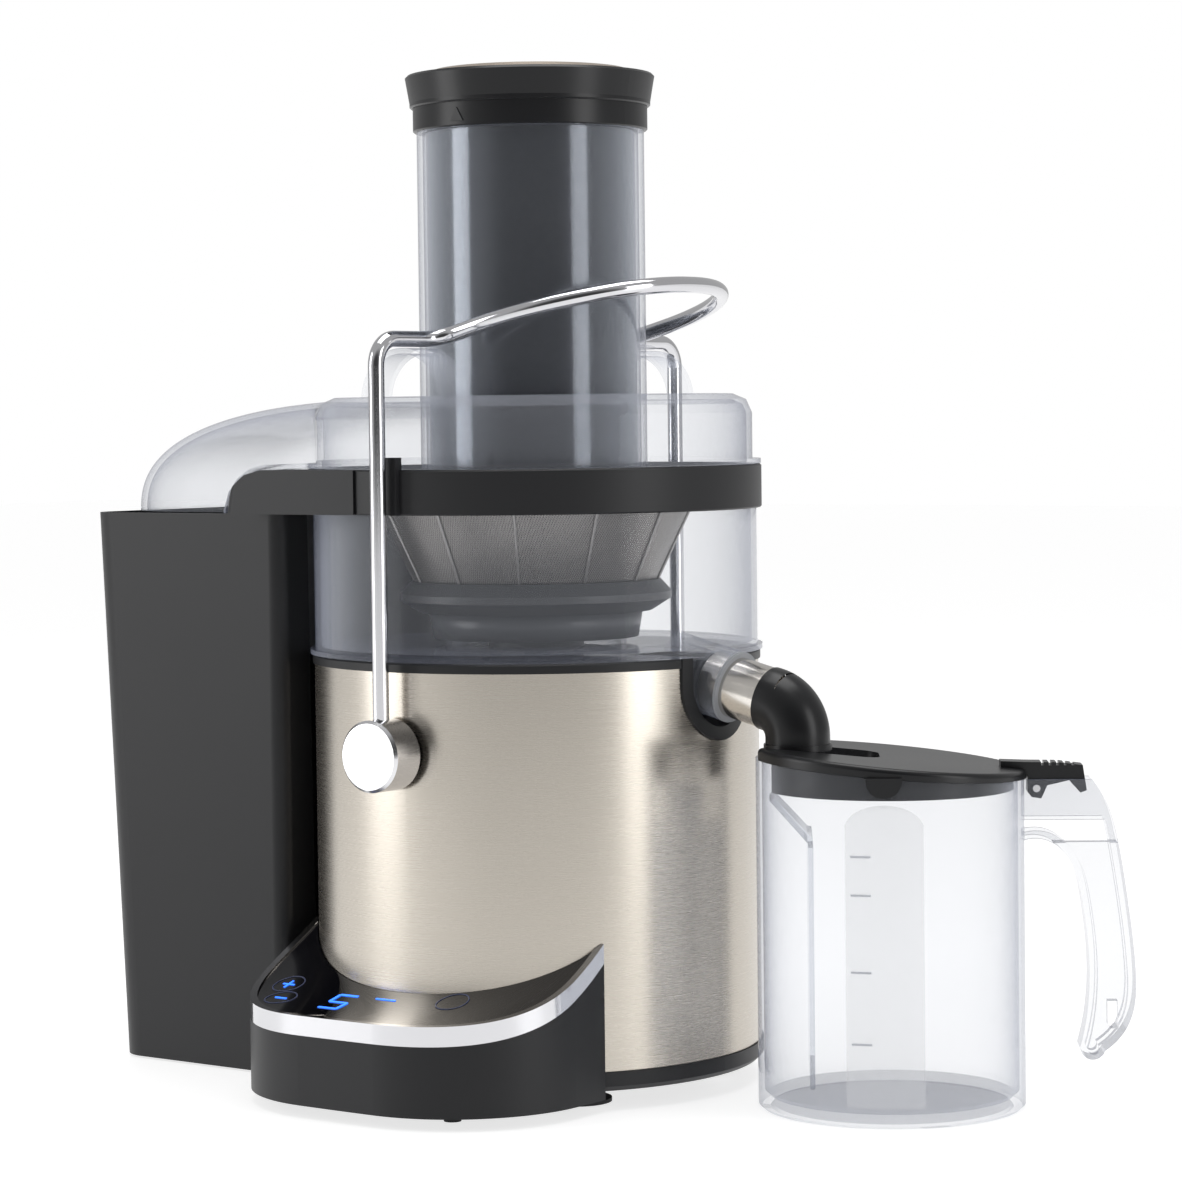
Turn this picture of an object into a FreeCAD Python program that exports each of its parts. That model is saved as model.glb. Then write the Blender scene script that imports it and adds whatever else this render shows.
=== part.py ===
"""Centrifugal juicer: motor base, bowl, basket, lid, locking arm, pulp container and jug.

Millimetres, +Z up. +X is the outlet and jug side, -Y the control panel, -X the pulp side.
Everything is drawn about the motor axis, and moved at the end so that the origin is on the
table, under the middle of the whole assembly's box.
"""
import FreeCAD, Part
import math
import os
import re
import Sketcher

V = FreeCAD.Vector
doc = FreeCAD.newDocument("Juicer")
sheet = doc.addObject("Spreadsheet::Sheet", "Sizes")
size = {}
nodes = []


# ---------------------------------------------------------------- sizes

def at(text):
    """The present value of a formula written with the names of the sizes."""
    scope = dict(size, sin=lambda a: math.sin(math.radians(a)), sqrt=math.sqrt,
                 cos=lambda a: math.cos(math.radians(a)), tan=lambda a: math.tan(math.radians(a)))
    tree = re.findall(r"[A-Za-z_][A-Za-z_0-9]*|[0-9.]+|[-+*/^()]", str(text))
    return reckon(tree, scope)


def reckon(words, scope):
    """Work out a formula by recursive descent: sums, then products, then single values."""
    words = list(words)

    def value():
        word = words.pop(0)
        if word == "-":
            return -value()
        if word == "(":
            inner = total()
            words.pop(0)
            return inner
        if callable(scope.get(word)):
            words.pop(0)
            inner = total()
            words.pop(0)
            return scope[word](inner)
        return scope[word] if word in scope else float(word)

    def power():
        base = value()
        if words and words[0] == "^":
            words.pop(0)
            return base ** value()
        return base

    def product():
        left = power()
        while words and words[0] in "*/":
            sign = words.pop(0)
            right = power()
            left = left * right if sign == "*" else left / right
        return left

    def total():
        left = product()
        while words and words[0] in "+-":
            sign = words.pop(0)
            right = product()
            left = left + right if sign == "+" else left - right
        return left

    return total()


def sizes(**values):
    """Write each size to its own cell, its name beside it. A text is a formula on earlier sizes."""
    for name, value in values.items():
        row = len(size) + 1
        sheet.set("A%d" % row, name)
        sheet.set("B%d" % row, "=" + value if isinstance(value, str) else str(value))
        sheet.setAlias("B%d" % row, name)
        size[name] = at(value)


# motor base
sizes(skin_radius=93.2, skin_top=175.5, skin_wall=0.8, plate_low=8, plate_wall=3,
      tub_wall=2.4, deck_wall=3, ring_tall=4, ring_wall=3.6, fit_gap=0.3, run_gap=0.05,
      plate_proud=0.8, plate_tall=8)
sizes(plate_radius="skin_radius + plate_proud", ring_radius="skin_radius + plate_proud",
      skin_low="plate_low + plate_tall")
# outlet
sizes(outlet_radius=12.5, outlet_wall=1.2, outlet_tilt=13.5, sleeve_gap=0.4, sleeve_wall=1.8,
      sleeve_out=3.4, pipe_length=37, dip_band=6, dip_gap=2.8, elbow_wall=2.2,
      outlet_proud=3.8, outlet_drop=7.5, elbow_reach=34)
sizes(outlet_reach="skin_radius + outlet_proud", outlet_high="skin_top - outlet_drop",
      dip_radius="outlet_radius + sleeve_gap + sleeve_wall + dip_gap",
      elbow_radius="outlet_radius + 0.5", elbow_x="outlet_reach + elbow_reach")
# bowl, band and lid
sizes(bowl_wall=2.4, bowl_floor=3, flange_wall=2, collar_radius=38, collar_rise=15.5,
      bowl_inset=0.2, flange_out=2, bowl_tall=63, band_tall=18.1, band_out=0.2, cheek_depth=20,
      lid_wall=2.4, lid_tall=29.4, lid_round=8, lid_inset=1.5, boss_half=5)
sizes(bowl_radius="skin_radius - bowl_inset", flange_radius="bowl_radius + flange_out",
      band_radius="flange_radius + band_out", collar_top="skin_top + collar_rise",
      band_low="skin_top + bowl_tall", band_top="band_low + band_tall",
      cheek_reach="band_radius - 4.2", lid_radius="bowl_radius - lid_inset",
      lid_top="band_top + lid_tall")
# feed chute and pusher
sizes(chute_radius=47.5, chute_wall=2.4, chute_rise=110, tube_gap=1.5, tube_wall=2.4,
      collar_tall=10, cap_tall=13.5, cap_lean=1.8, insert_rise=3)
sizes(tube_radius="chute_radius - chute_wall - tube_gap", chute_top="lid_top + chute_rise",
      chute_low="band_top - 16.6", tube_low="chute_low + 6", collar_rim="chute_radius + 1.5",
      cap_radius="collar_rim + 1.3", cap_flare="cap_radius + cap_lean",
      cap_top="chute_top + collar_tall + cap_tall", insert_radius="cap_flare - 6.6")
# ears that the arm locks over
sizes(ear_radius=21, ear_wall=2.2, ear_rise=19.4, ear_inset=4.5, ear_length=17)
sizes(ear_crown="lid_top + ear_rise", ear_far="lid_radius - ear_inset",
      ear_near="ear_far - ear_length")
# pulp container and hood
sizes(bin_deep=94.8, panel_side=17.7, panel_room=2.5, bin_low=1, bin_taper=6, bin_wall=2.5, bin_clear=0.8,
      bin_drop=0.5, bin_side=1.2, hood_inset=5, hood_wall=2.2, hood_arch=134, hood_drop=0.1)
sizes(bin_near="skin_radius - panel_side + panel_room", bin_reach="band_radius + bin_deep",
      bin_half="band_radius - cheek_depth - bin_side",
      bin_top="band_low - bin_drop", hood_half="bin_half - hood_inset",
      hood_reach="bin_reach - hood_inset", hood_low="band_low - hood_drop",
      hood_start="lid_radius - 41.5")
# basket
sizes(basket_gap=22.3, mesh_flare=19.7, mesh_wall=0.8, rim_tall=5, rim_wall=2.2, hub_gap=5,
      hub_tall=13, hub_out=6, disc_inset=2, tooth_count=5, mesh_drop=6.6)
sizes(mesh_top_radius="bowl_radius - basket_gap", mesh_low_radius="mesh_top_radius - mesh_flare",
      hub_radius="mesh_low_radius + hub_out", disc_radius="mesh_low_radius - disc_inset",
      hub_low="collar_top + hub_gap", mesh_low="hub_low + hub_tall",
      mesh_top="band_top - mesh_drop")
# motor and shaft
sizes(shaft_radius=5, shaft_low=32, coupling_radius=20, coupling_gap=4.5, rotor_radius=27,
      rotor_low=62, motor_room=61.5, air_gap=1, stator_radius=46, mount_gap=6,
      bracket_wall=4, bearing_radius=13, bearing_tall=8, fan_radius=38)
sizes(shaft_top="mesh_low - 4", coupling_low="skin_top + coupling_gap",
      rotor_tall="skin_top - rotor_low - motor_room", mount_spread="stator_radius + mount_gap")
# locking arm
sizes(rod_radius=3.25, arm_gap=4.05, pivot_drop=32.5, ear_gap=0.35, loop_out=12.25,
      loop_ahead=33.5, loop_rise=21, bend_radius=11, knob_radius=14.5, knob_gap=2.8,
      knob_out=8.5, pin_radius=4, washer_inset=2)
sizes(arm_half="band_radius + rod_radius + arm_gap", pivot_high="skin_top - pivot_drop",
      arm_high="ear_crown + rod_radius + ear_gap",
      loop_half="chute_radius + rod_radius + loop_out", loop_reach="chute_radius + loop_ahead",
      loop_high="arm_high + loop_rise", knob_near="skin_radius + knob_gap",
      knob_far="arm_half + knob_out", washer_radius="knob_radius - washer_inset")
# control panel
sizes(panel_low=5, panel_rise=36, panel_bend=122, trim_tall=8, trim_wall=3, glass_wall=1.6,
      panel_wall=3, panel_round=58, panel_ahead=36.8, panel_bow=3, panel_shift=6,
      panel_widen=4.5)
sizes(panel_back="skin_radius - 36.2", panel_back_half="skin_radius - panel_side",
      panel_corner="skin_radius + panel_ahead", panel_front="panel_corner + panel_bow",
      panel_corner_half="panel_back_half + panel_widen")
# jug
sizes(jug_drop=37, jug_turn=33.75, jug_radius=53.5, jug_wall=2.5, jug_base=5, rim_rise=8.5,
      plate_inset=22.5, plate_thick=2, plate_drop=23, handle_half=8, web_half=3, rim_thick=3.2,
      hinge_out=4.5, hinge_drop=3.5, hinge_pin=1.5, lever_half=5.2, cover_gap=0.3,
      cover_tall=5.5, cover_dome=3.5, notch_end=4, elbow_lap=4.06, elbow_dip=12)
sizes(jug_top="outlet_high - jug_drop", jug_x="elbow_x + (jug_radius - elbow_radius - elbow_lap)"
      " * cos(jug_turn)", plate_off="jug_radius - plate_inset", plate_top="jug_top - plate_drop",
      hinge_x="jug_radius + hinge_out", hinge_high="jug_top - hinge_drop",
      rim_low="jug_top + 0.5", rim_high="rim_low + rim_rise",
      cover_end="rim_low + cover_dome", cover_high="rim_high + cover_tall",
      notch_half="elbow_radius + 2", elbow_bottom="jug_top + elbow_dip")
# feet and fastenings
sizes(foot_radius=14, foot_inset=28, peg_radius=3.5, screw_inset=16, screw_radius=3)
sizes(foot_spread="plate_radius - foot_inset", screw_spread="plate_radius - screw_inset")
doc.recompute()


def bind(thing, path, text):
    """Tie a property to a formula on the sheet."""
    names = r"[A-Za-z_][A-Za-z_0-9]*"
    formula = re.sub(names, lambda w: "Sizes." + w[0] if w[0] in size else w[0], str(text))
    thing.setExpression(path, formula)


# ---------------------------------------------------------------- features

def body(label):
    """A new PartDesign body; its label names the node."""
    made = doc.addObject("PartDesign::Body", label)
    made.Label = label
    nodes.append(made)
    return made


def sketch(owner, role, lift=None):
    """An empty sketch flat on one of the body's own origin planes."""
    made = owner.newObject("Sketcher::SketchObject", owner.Name + "Sketch")
    flat = [f for f in owner.Origin.OriginFeatures if f.Role == role + "_Plane"][0]
    made.AttachmentSupport = [(flat, "")]
    made.MapMode = "FlatFace"
    if lift is not None:
        bind(made, "AttachmentOffset.Base.z", lift)
    return made


def place(drawn, index, end, x, y):
    """Hold one end of a curve at a place given by two formulas."""
    for axis, text, kind, line in (("x", x, "DistanceX", -2), ("y", y, "DistanceY", -1)):
        if str(text) == "0":
            drawn.addConstraint(Sketcher.Constraint("PointOnObject", index, end, line))
            continue
        name = "%s%d_%d" % (axis, index, end)
        rule = drawn.addConstraint(Sketcher.Constraint(kind, -1, 1, index, end, at(text)))
        drawn.renameConstraint(rule, name)
        bind(drawn, "Constraints." + name, text)


def outline(drawn, *points, bulge=None):
    """A closed outline through the points. bulge = (side, radius) makes that side an arc."""
    count = len(points)
    spots = [V(at(x), at(y), 0) for x, y in points]
    first = drawn.GeometryCount
    for i in range(count):
        here, there = spots[i], spots[(i + 1) % count]
        if bulge and bulge[0] == i:
            radius = at(bulge[1])
            chord = there - here
            sag = radius - math.sqrt(radius ** 2 - (chord.Length / 2) ** 2)
            out = V(chord.y, -chord.x, 0).normalize() * sag
            curve = Part.Arc(here, (here + there) * 0.5 + out, there)
            index = drawn.addGeometry(curve, False)
            rule = drawn.addConstraint(Sketcher.Constraint("Radius", index, radius))
            drawn.renameConstraint(rule, "radius%d" % index)
            bind(drawn, "Constraints.radius%d" % index, bulge[1])
        else:
            drawn.addGeometry(Part.LineSegment(here, there), False)
    for i in range(count):
        ends = Sketcher.Constraint("Coincident", first + i, 2, first + (i + 1) % count, 1)
        drawn.addConstraint(ends)
        place(drawn, first + i, 1, *points[i])
    return drawn


def ring(drawn, x, y, radius):
    """A circle with its centre and radius given by formulas."""
    spot = V(at(x), at(y), 0)
    index = drawn.addGeometry(Part.Circle(spot, V(0, 0, 1), at(radius)), False)
    place(drawn, index, 3, x, y)
    rule = drawn.addConstraint(Sketcher.Constraint("Radius", index, at(radius)))
    drawn.renameConstraint(rule, "radius%d" % index)
    bind(drawn, "Constraints.radius%d" % index, radius)
    return drawn


def feature(owner, kind, drawn, length=None, both=False, back=False):
    """Pad, Pocket, Revolution or Groove of a sketch. A cut that removes nothing is an error."""
    doc.recompute()
    before = owner.Shape.Volume if owner.Tip else 0
    made = owner.newObject("PartDesign::" + kind, owner.Name + kind)
    made.Profile = drawn
    if kind in ("Revolution", "Groove"):
        made.ReferenceAxis = (drawn, ["V_Axis"])
        made.Angle = 360
    else:
        made.SideType = "Symmetric" if both else "One side"
        made.Reversed = back
        bind(made, "Length", length)
    doc.recompute()
    grew = owner.Shape.Volume - before
    if (kind in ("Pocket", "Groove") and grew > -1e-3) or (kind == "Pad" and grew < 1e-3):
        raise RuntimeError("%s changed nothing on %s" % (kind, owner.Label))
    return made


def turned(label, *points):
    """A body turned about the vertical axis from a half profile of (radius, height)."""
    made = body(label)
    feature(made, "Revolution", outline(sketch(made, "XZ"), *points))
    return made


def rounded(owner, radius, pick, kind="Fillet"):
    """Fillet or chamfer the edges of the tip that pick accepts."""
    doc.recompute()
    base = owner.Tip
    names = ["Edge%d" % (i + 1) for i, e in enumerate(base.Shape.Edges) if pick(e)]
    if not names:
        raise RuntimeError("no edge to round on " + owner.Label)
    made = owner.newObject("PartDesign::" + kind, owner.Name + kind)
    made.Base = (base, names)
    bind(made, "Radius" if kind == "Fillet" else "Size", radius)
    doc.recompute()
    return made


def upright(edge):
    """Is this a straight edge that runs mostly up and down?"""
    if len(edge.Vertexes) != 2:
        return False
    run = edge.Vertexes[1].Point - edge.Vertexes[0].Point
    return edge.Length < run.Length + 1e-4 and abs(run.z) > 0.8 * run.Length


def level(edge, high, radius=None):
    """Does this edge lie at a height, and is it round with this radius if one is given?"""
    box = edge.BoundBox
    if abs(box.ZMin - high) > 0.02 or abs(box.ZMax - high) > 0.02:
        return False
    if radius is None:
        return True
    return hasattr(edge.Curve, "Radius") and abs(edge.Curve.Radius - radius) < 0.02


def cylinder(name, radius, length, x="0", y="0", z="0", axis=(0, 0, 1), turn=0):
    """A bound cylinder primitive whose foot is at x, y, z."""
    made = doc.addObject("Part::Cylinder", name)
    bind(made, "Radius", radius)
    bind(made, "Height", length)
    made.Placement = FreeCAD.Placement(V(), FreeCAD.Rotation(V(*axis), turn))
    for key, text in zip("xyz", (x, y, z)):
        bind(made, "Placement.Base." + key, text)
    return made


def block(name, lows, highs):
    """A bound box primitive between two corners given by formulas."""
    made = doc.addObject("Part::Box", name)
    for key, side, low, high in zip("xyz", ("Length", "Width", "Height"), lows, highs):
        bind(made, "Placement.Base." + key, low)
        bind(made, side, "(%s) - (%s)" % (high, low))
    return made


def joined(label, kind, first, *rest):
    """A boolean of the given objects: Cut, MultiFuse or MultiCommon. It is a node if labelled."""
    if kind == "Cut":
        made = doc.addObject("Part::Cut", label)
        made.Base = first
        made.Tool = rest[0]
    else:
        made = doc.addObject("Part::" + kind, label)
        made.Shapes = [first] + list(rest)
    made.Label = label
    for used in (first,) + rest:
        if used in nodes:
            nodes.remove(used)
    return made


def node(made):
    """Count an object as a node of the assembly."""
    nodes.append(made)
    return made


def shaped(label, shape):
    """A Part::Feature node for a shape that no other feature suits."""
    made = doc.addObject("Part::Feature", label)
    made.Label = label
    made.Shape = shape
    made.Placement = FreeCAD.Placement()
    return node(made)


# ---------------------------------------------------------------- motor base

def dip_cut(owner, radius):
    """Cut the U-shaped dip for the outlet through the +X side of a base piece."""
    drawn = sketch(owner, "YZ", "skin_radius - 28")
    ring(drawn, "0", "outlet_high + 0.5", radius)
    feature(owner, "Pocket", drawn, "60", back=True)
    top = "skin_top + ring_tall + 1"
    drawn = sketch(owner, "YZ", "skin_radius - 28")
    outline(drawn, ("-(%s)" % radius, "outlet_high + 0.5"), (radius, "outlet_high + 0.5"),
            (radius, top), ("-(%s)" % radius, top))
    feature(owner, "Pocket", drawn, "60", back=True)


def motor_base():
    """Steel skin, inner tub, base plate, trim ring with its outlet dip."""
    skin = turned("body_skin", ("skin_radius - skin_wall", "skin_low"), ("skin_radius", "skin_low"),
                  ("skin_radius", "skin_top"), ("skin_radius - skin_wall", "skin_top"))
    dip_cut(skin, "dip_radius + dip_band")
    drawn = ring(sketch(skin, "XZ"), "0", "pivot_high", "pin_radius + run_gap")
    feature(skin, "Pocket", drawn, "2 * skin_radius + 10", both=True)
    inner = "skin_radius - skin_wall - fit_gap"
    tub = turned("inner_tub", (inner + " - tub_wall", "skin_low"), (inner, "skin_low"),
                 (inner, "skin_top"), ("coupling_radius + 3", "skin_top"),
                 ("coupling_radius + 3", "skin_top - deck_wall - 6"),
                 ("coupling_radius + 6", "skin_top - deck_wall - 6"),
                 ("coupling_radius + 6", "skin_top - deck_wall"),
                 (inner + " - tub_wall", "skin_top - deck_wall"))
    dip_cut(tub, "dip_radius + dip_band")
    drawn = ring(sketch(tub, "XZ"), "0", "pivot_high", "pin_radius + run_gap")
    feature(tub, "Pocket", drawn, "2 * skin_radius + 10", both=True)
    plate = turned("base_plate", ("8", "plate_low"), ("plate_radius - 2", "plate_low"),
                   ("plate_radius", "plate_low + 2"), ("plate_radius", "skin_low - 0.2"),
                   ("plate_radius - 7", "skin_low - 0.2"),
                   ("plate_radius - 7", "plate_low + plate_wall"),
                   ("8", "plate_low + plate_wall"))
    slots = sketch(plate, "XY", "plate_low")
    outline(slots, ("16", "-3"), ("34", "-3"), ("34", "3"), ("16", "3"))
    cut = feature(plate, "Pocket", slots, "plate_wall + 1", back=True)
    vents = plate.newObject("PartDesign::PolarPattern", "BaseVents")
    vents.Originals = [cut]
    vents.Axis = (slots, ["N_Axis"])
    vents.Angle = 360
    vents.Occurrences = 10
    plate.Tip = vents
    doc.recompute()
    trim = turned("trim_ring", ("ring_radius - ring_wall", "skin_top + 0.1"),
                  ("ring_radius", "skin_top + 0.1"), ("ring_radius", "skin_top + ring_tall - 0.8"),
                  ("ring_radius - 0.8", "skin_top + ring_tall"),
                  ("ring_radius - ring_wall", "skin_top + ring_tall"))
    dip_cut(trim, "dip_radius + dip_band - 0.1")


def outlet_surround():
    """The U-shaped black band that carries the trim ring down around the outlet."""
    surround = body("outlet_surround")
    drawn = sketch(surround, "YZ", "ring_radius - 14")
    ring(drawn, "0", "outlet_high + 0.5", "dip_radius + dip_band - 0.2")
    ring(drawn, "0", "outlet_high + 0.5", "dip_radius + 0.2")
    feature(surround, "Pad", drawn, "16")
    above = "outlet_high + 0.5"
    drawn = sketch(surround, "YZ", "ring_radius - 15")
    outline(drawn, ("-40", above), ("40", above), ("40", above + " + 40"), ("-40", above + " + 40"))
    feature(surround, "Pocket", drawn, "20", back=True)
    for side in ("-1", "1"):
        near, far = "%s * (dip_radius + 0.2)", "%s * (dip_radius + dip_band - 0.2)"
        near, far = near % side, far % side
        drawn = sketch(surround, "YZ", "ring_radius - 14")
        outline(drawn, (near, above + " - 0.1"), (far, above + " - 0.1"),
                (far, "skin_top + ring_tall"), (near, "skin_top + ring_tall"))
        feature(surround, "Pad", drawn, "16")
    drawn = sketch(surround, "XY", "outlet_high - 40")
    ring(drawn, "0", "0", "ring_radius + 20")
    ring(drawn, "0", "0", "ring_radius + 0.4")
    feature(surround, "Pocket", drawn, "100", back=True)


def motor():
    """Stator, brackets, bearings, mounts and the spinning rotor, fan, shaft and coupling."""
    turned("motor_shaft", ("0", "shaft_low"), ("shaft_radius", "shaft_low"),
           ("shaft_radius", "shaft_top"), ("0", "shaft_top"))
    low, high = "rotor_low", "rotor_low + rotor_tall"
    core = turned("rotor_core", ("shaft_radius", low), ("rotor_radius", low),
                  ("rotor_radius", high), ("shaft_radius", high))
    drawn = sketch(core, "XY", low + " - 1")
    outline(drawn, ("rotor_radius - 6", "-1"), ("rotor_radius + 1", "-1"),
            ("rotor_radius + 1", "1"), ("rotor_radius - 6", "1"))
    slot = feature(core, "Pocket", drawn, "rotor_tall + 2", back=True)
    around = core.newObject("PartDesign::PolarPattern", "RotorSlots")
    around.Originals = [slot]
    around.Axis = (drawn, ["N_Axis"])
    around.Angle = 360
    around.Occurrences = 12
    core.Tip = around
    doc.recompute()
    turned("commutator", ("shaft_radius", high + " + 5"), ("12", high + " + 5"),
           ("12", high + " + 20"), ("shaft_radius", high + " + 20"))
    bore = "rotor_radius + air_gap"
    stator = turned("motor_stator", (bore, low), ("stator_radius", low), ("stator_radius", high),
                    (bore, high))
    rounded(stator, "1", lambda e: level(e, at(low), at("stator_radius")), "Chamfer")
    rod = "shaft_radius + run_gap"
    for name, lift in (("lower", "shaft_low + 3"), ("upper", high + " + 25")):
        turned("bearing_" + name, (rod, lift), ("bearing_radius", lift),
               ("bearing_radius", lift + " + bearing_tall"), (rod, lift + " + bearing_tall"))
        bracket = body("motor_bracket_" + name)
        drawn = sketch(bracket, "XY", lift)
        ring(drawn, "0", "0", "mount_spread + 8")
        ring(drawn, "0", "0", "bearing_radius")
        feature(bracket, "Pad", drawn, "bracket_wall")
        drawn = sketch(bracket, "XY", lift)
        ring(drawn, "mount_spread", "0", "screw_radius")
        hole = feature(bracket, "Pocket", drawn, "bracket_wall", back=True)
        turn = bracket.newObject("PartDesign::PolarPattern", "BracketHoles")
        turn.Originals = [hole]
        turn.Axis = (drawn, ["N_Axis"])
        turn.Angle = 360
        turn.Occurrences = 4
        bracket.Tip = turn
        doc.recompute()
    fan_low = "shaft_low + 3 + bearing_tall + 3"
    fan = turned("cooling_fan", ("shaft_radius", fan_low), ("12", fan_low),
                 ("12", fan_low + " + 10"), ("shaft_radius", fan_low + " + 10"))
    drawn = sketch(fan, "XY", fan_low)
    outline(drawn, ("11", "-0.8"), ("fan_radius", "-0.8"), ("fan_radius", "0.8"), ("11", "0.8"))
    blade = feature(fan, "Pad", drawn, "9")
    turn = fan.newObject("PartDesign::PolarPattern", "FanBlades")
    turn.Originals = [blade]
    turn.Axis = (drawn, ["N_Axis"])
    turn.Angle = 360
    turn.Occurrences = 9
    fan.Tip = turn
    doc.recompute()
    posts = []
    for i, (x, y) in enumerate((("1", "0"), ("0", "1"), ("-1", "0"), ("0", "-1"))):
        posts.append(cylinder("Post%d" % i, "screw_radius + 2", "rotor_low + rotor_tall + 25"
                              " - plate_low - plate_wall", x + " * mount_spread",
                              y + " * mount_spread", "plate_low + plate_wall"))
        posts[-1].Label = "motor_post_%d" % (i + 1)
    pillars = joined("pillar_set", "MultiFuse", *posts)
    lows = cylinder("LowerSeat", "mount_spread + 9", "bracket_wall", z="shaft_low + 3")
    node(joined("motor_pillars", "Cut", pillars, lows))
    drive = turned("drive_coupling", ("shaft_radius", "coupling_low"),
                   ("coupling_radius", "coupling_low"),
                   ("coupling_radius", "coupling_low + 4"), ("13", "coupling_low + 8"),
                   ("13", "hub_low - 0.4"), ("shaft_radius", "hub_low - 0.4"))
    rounded(drive, "1", lambda e: level(e, at("coupling_low + 4"), at("coupling_radius")))


def feet():
    """Suction feet, panel pegs and the base screws."""
    spots = [(math.cos(math.radians(a)), math.sin(math.radians(a))) for a in (-40, 80, 200)]
    for i, (x, y) in enumerate(spots):
        cup = turned("suction_foot_%d" % (i + 1), ("0", "1.2"), ("foot_radius - 6", "1.2"),
                     ("foot_radius - 5", "0"), ("foot_radius", "0"), ("foot_radius", "1.5"), ("6", "4.5"),
                     ("6", "plate_low"), ("0", "plate_low"))
        bind(cup, "Placement.Base.x", "foot_spread * %.6f" % x)
        bind(cup, "Placement.Base.y", "foot_spread * %.6f" % y)
    heads = []
    for i, a in enumerate((20, 140, 260)):
        x, y = math.cos(math.radians(a)), math.sin(math.radians(a))
        heads.append(cylinder("Screw%d" % i, "screw_radius", "plate_wall + 6",
                              "screw_spread * %.6f" % x, "screw_spread * %.6f" % y,
                              "plate_low - 1"))
        heads.append(cylinder("Head%d" % i, "screw_radius + 2", "1",
                              "screw_spread * %.6f" % x, "screw_spread * %.6f" % y,
                              "plate_low - 1"))
    screws = joined("base_screws", "MultiFuse", *heads)
    node(screws)
    shafts = []
    for i, a in enumerate((20, 140, 260)):
        x, y = math.cos(math.radians(a)), math.sin(math.radians(a))
        shafts.append(cylinder("Hole%d" % i, "screw_radius", "plate_wall + 8",
                               "screw_spread * %.6f" % x, "screw_spread * %.6f" % y,
                               "plate_low - 2"))
    plate = [n for n in nodes if n.Label == "base_plate"][0]
    plate.Label = "plate_blank"
    node(joined("base_plate", "Cut", plate, joined("plate_holes", "MultiFuse", *shafts)))
    pegs = []
    for side in ("-1", "1"):
        pegs.append(cylinder("Peg", "peg_radius", "panel_low", side + " * 41 - panel_shift",
                             "-(panel_corner - 26)"))
    node(joined("panel_pegs", "MultiFuse", *pegs))


# ---------------------------------------------------------------- control panel

def panel_outline(drawn, inset):
    """The panel's plan: straight sides, a shallow bowed front, inset all round."""
    inset = "(%s)" % inset
    side, corner = "(panel_back_half - %s)" % inset, "(panel_corner_half - %s)" % inset
    front = "-(panel_corner - %s)" % inset
    bow = "(panel_corner_half^2 + panel_bow^2) / (2 * panel_bow) - %s" % inset
    outline(drawn, (side, "-panel_back"), ("-" + side, "-panel_back"),
            ("-panel_shift - " + corner, front), (corner + " - panel_shift", front),
            bulge=(2, bow))
    return drawn


def panel_piece(label, inset):
    """A tall block with the panel's plan, set in all round."""
    made = body(label)
    feature(made, "Pad", panel_outline(sketch(made, "XY", "panel_low"), inset), "120")
    return made


def hollowed(label, made, lift, inset):
    """Cut a panel piece hollow from a height upwards; its wall keeps the rounded corners."""
    core = body(label + "_core")
    feature(core, "Pad", panel_outline(sketch(core, "XY", lift), inset), "200")
    rounded(core, "panel_round - (%s)" % inset, corner_edges(inset))
    node(joined(label, "Cut", made, core))


def slope_cut(made, drop, above):
    """Cut away all above (or below) the dished top face, which is moved down by drop."""
    rise = "panel_low + panel_rise + panel_bend - sqrt(panel_bend^2 - (%s)^2) - (" + drop + ")"
    front, rear = "-(panel_front + 10)", "-(panel_back - 20)"
    z_front = rise % "10"
    z_rear = rise % "panel_front - panel_back + 20"
    far = "panel_low + 160" if above else "panel_low - 30"
    drawn = outline(sketch(made, "YZ"), (front, z_front), (rear, z_rear), (rear, far),
                    (front, far), bulge=(0, "panel_bend"))
    feature(made, "Pocket", drawn, "300", both=True)


def clear_of_skin(made, gap):
    """Cut the piece back to the round motor body."""
    drawn = ring(sketch(made, "XY"), "0", "0", "skin_radius + %s" % gap)
    feature(made, "Pocket", drawn, "160", back=True)


def corner_edges(inset):
    """Edge picker: upright edges at the two front corners of the panel's plan, set in."""
    half, front = at("panel_corner_half - (%s)" % inset), at("%s - panel_corner" % inset)
    shift = at("panel_shift")
    return lambda e: (upright(e) and abs(abs(e.BoundBox.Center.x + shift) - half) < 0.6
                      and abs(e.BoundBox.Center.y - front) < 0.6)


def control_panel():
    """Black housing, bright trim, touch glass and circuit board."""
    housing = panel_piece("housing_blank", "0")
    rounded(housing, "panel_round", corner_edges("0"))
    slope_cut(housing, "trim_tall", True)
    clear_of_skin(housing, "0.8")
    hollowed("panel_housing", housing, "panel_low + panel_wall", "panel_wall + 1")
    trim = panel_piece("trim_blank", "0")
    rounded(trim, "panel_round", corner_edges("0"))
    slope_cut(trim, "0", True)
    slope_cut(trim, "trim_tall - 0.1", False)
    clear_of_skin(trim, "0.5")
    hollowed("panel_trim", trim, "panel_low", "trim_wall")
    glass = panel_piece("touch_glass", "trim_wall + 0.1")
    rounded(glass, "panel_round - trim_wall - 0.1", corner_edges("trim_wall + 0.1"))
    slope_cut(glass, "0.8", True)
    slope_cut(glass, "0.8 + glass_wall", False)
    clear_of_skin(glass, "0.5")
    board = panel_piece("control_board", "panel_wall + 24")
    slope_cut(board, "trim_tall + 1", True)
    slope_cut(board, "trim_tall + 2.6", False)
    clear_of_skin(board, "3")


# ---------------------------------------------------------------- bowl and outlet

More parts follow.
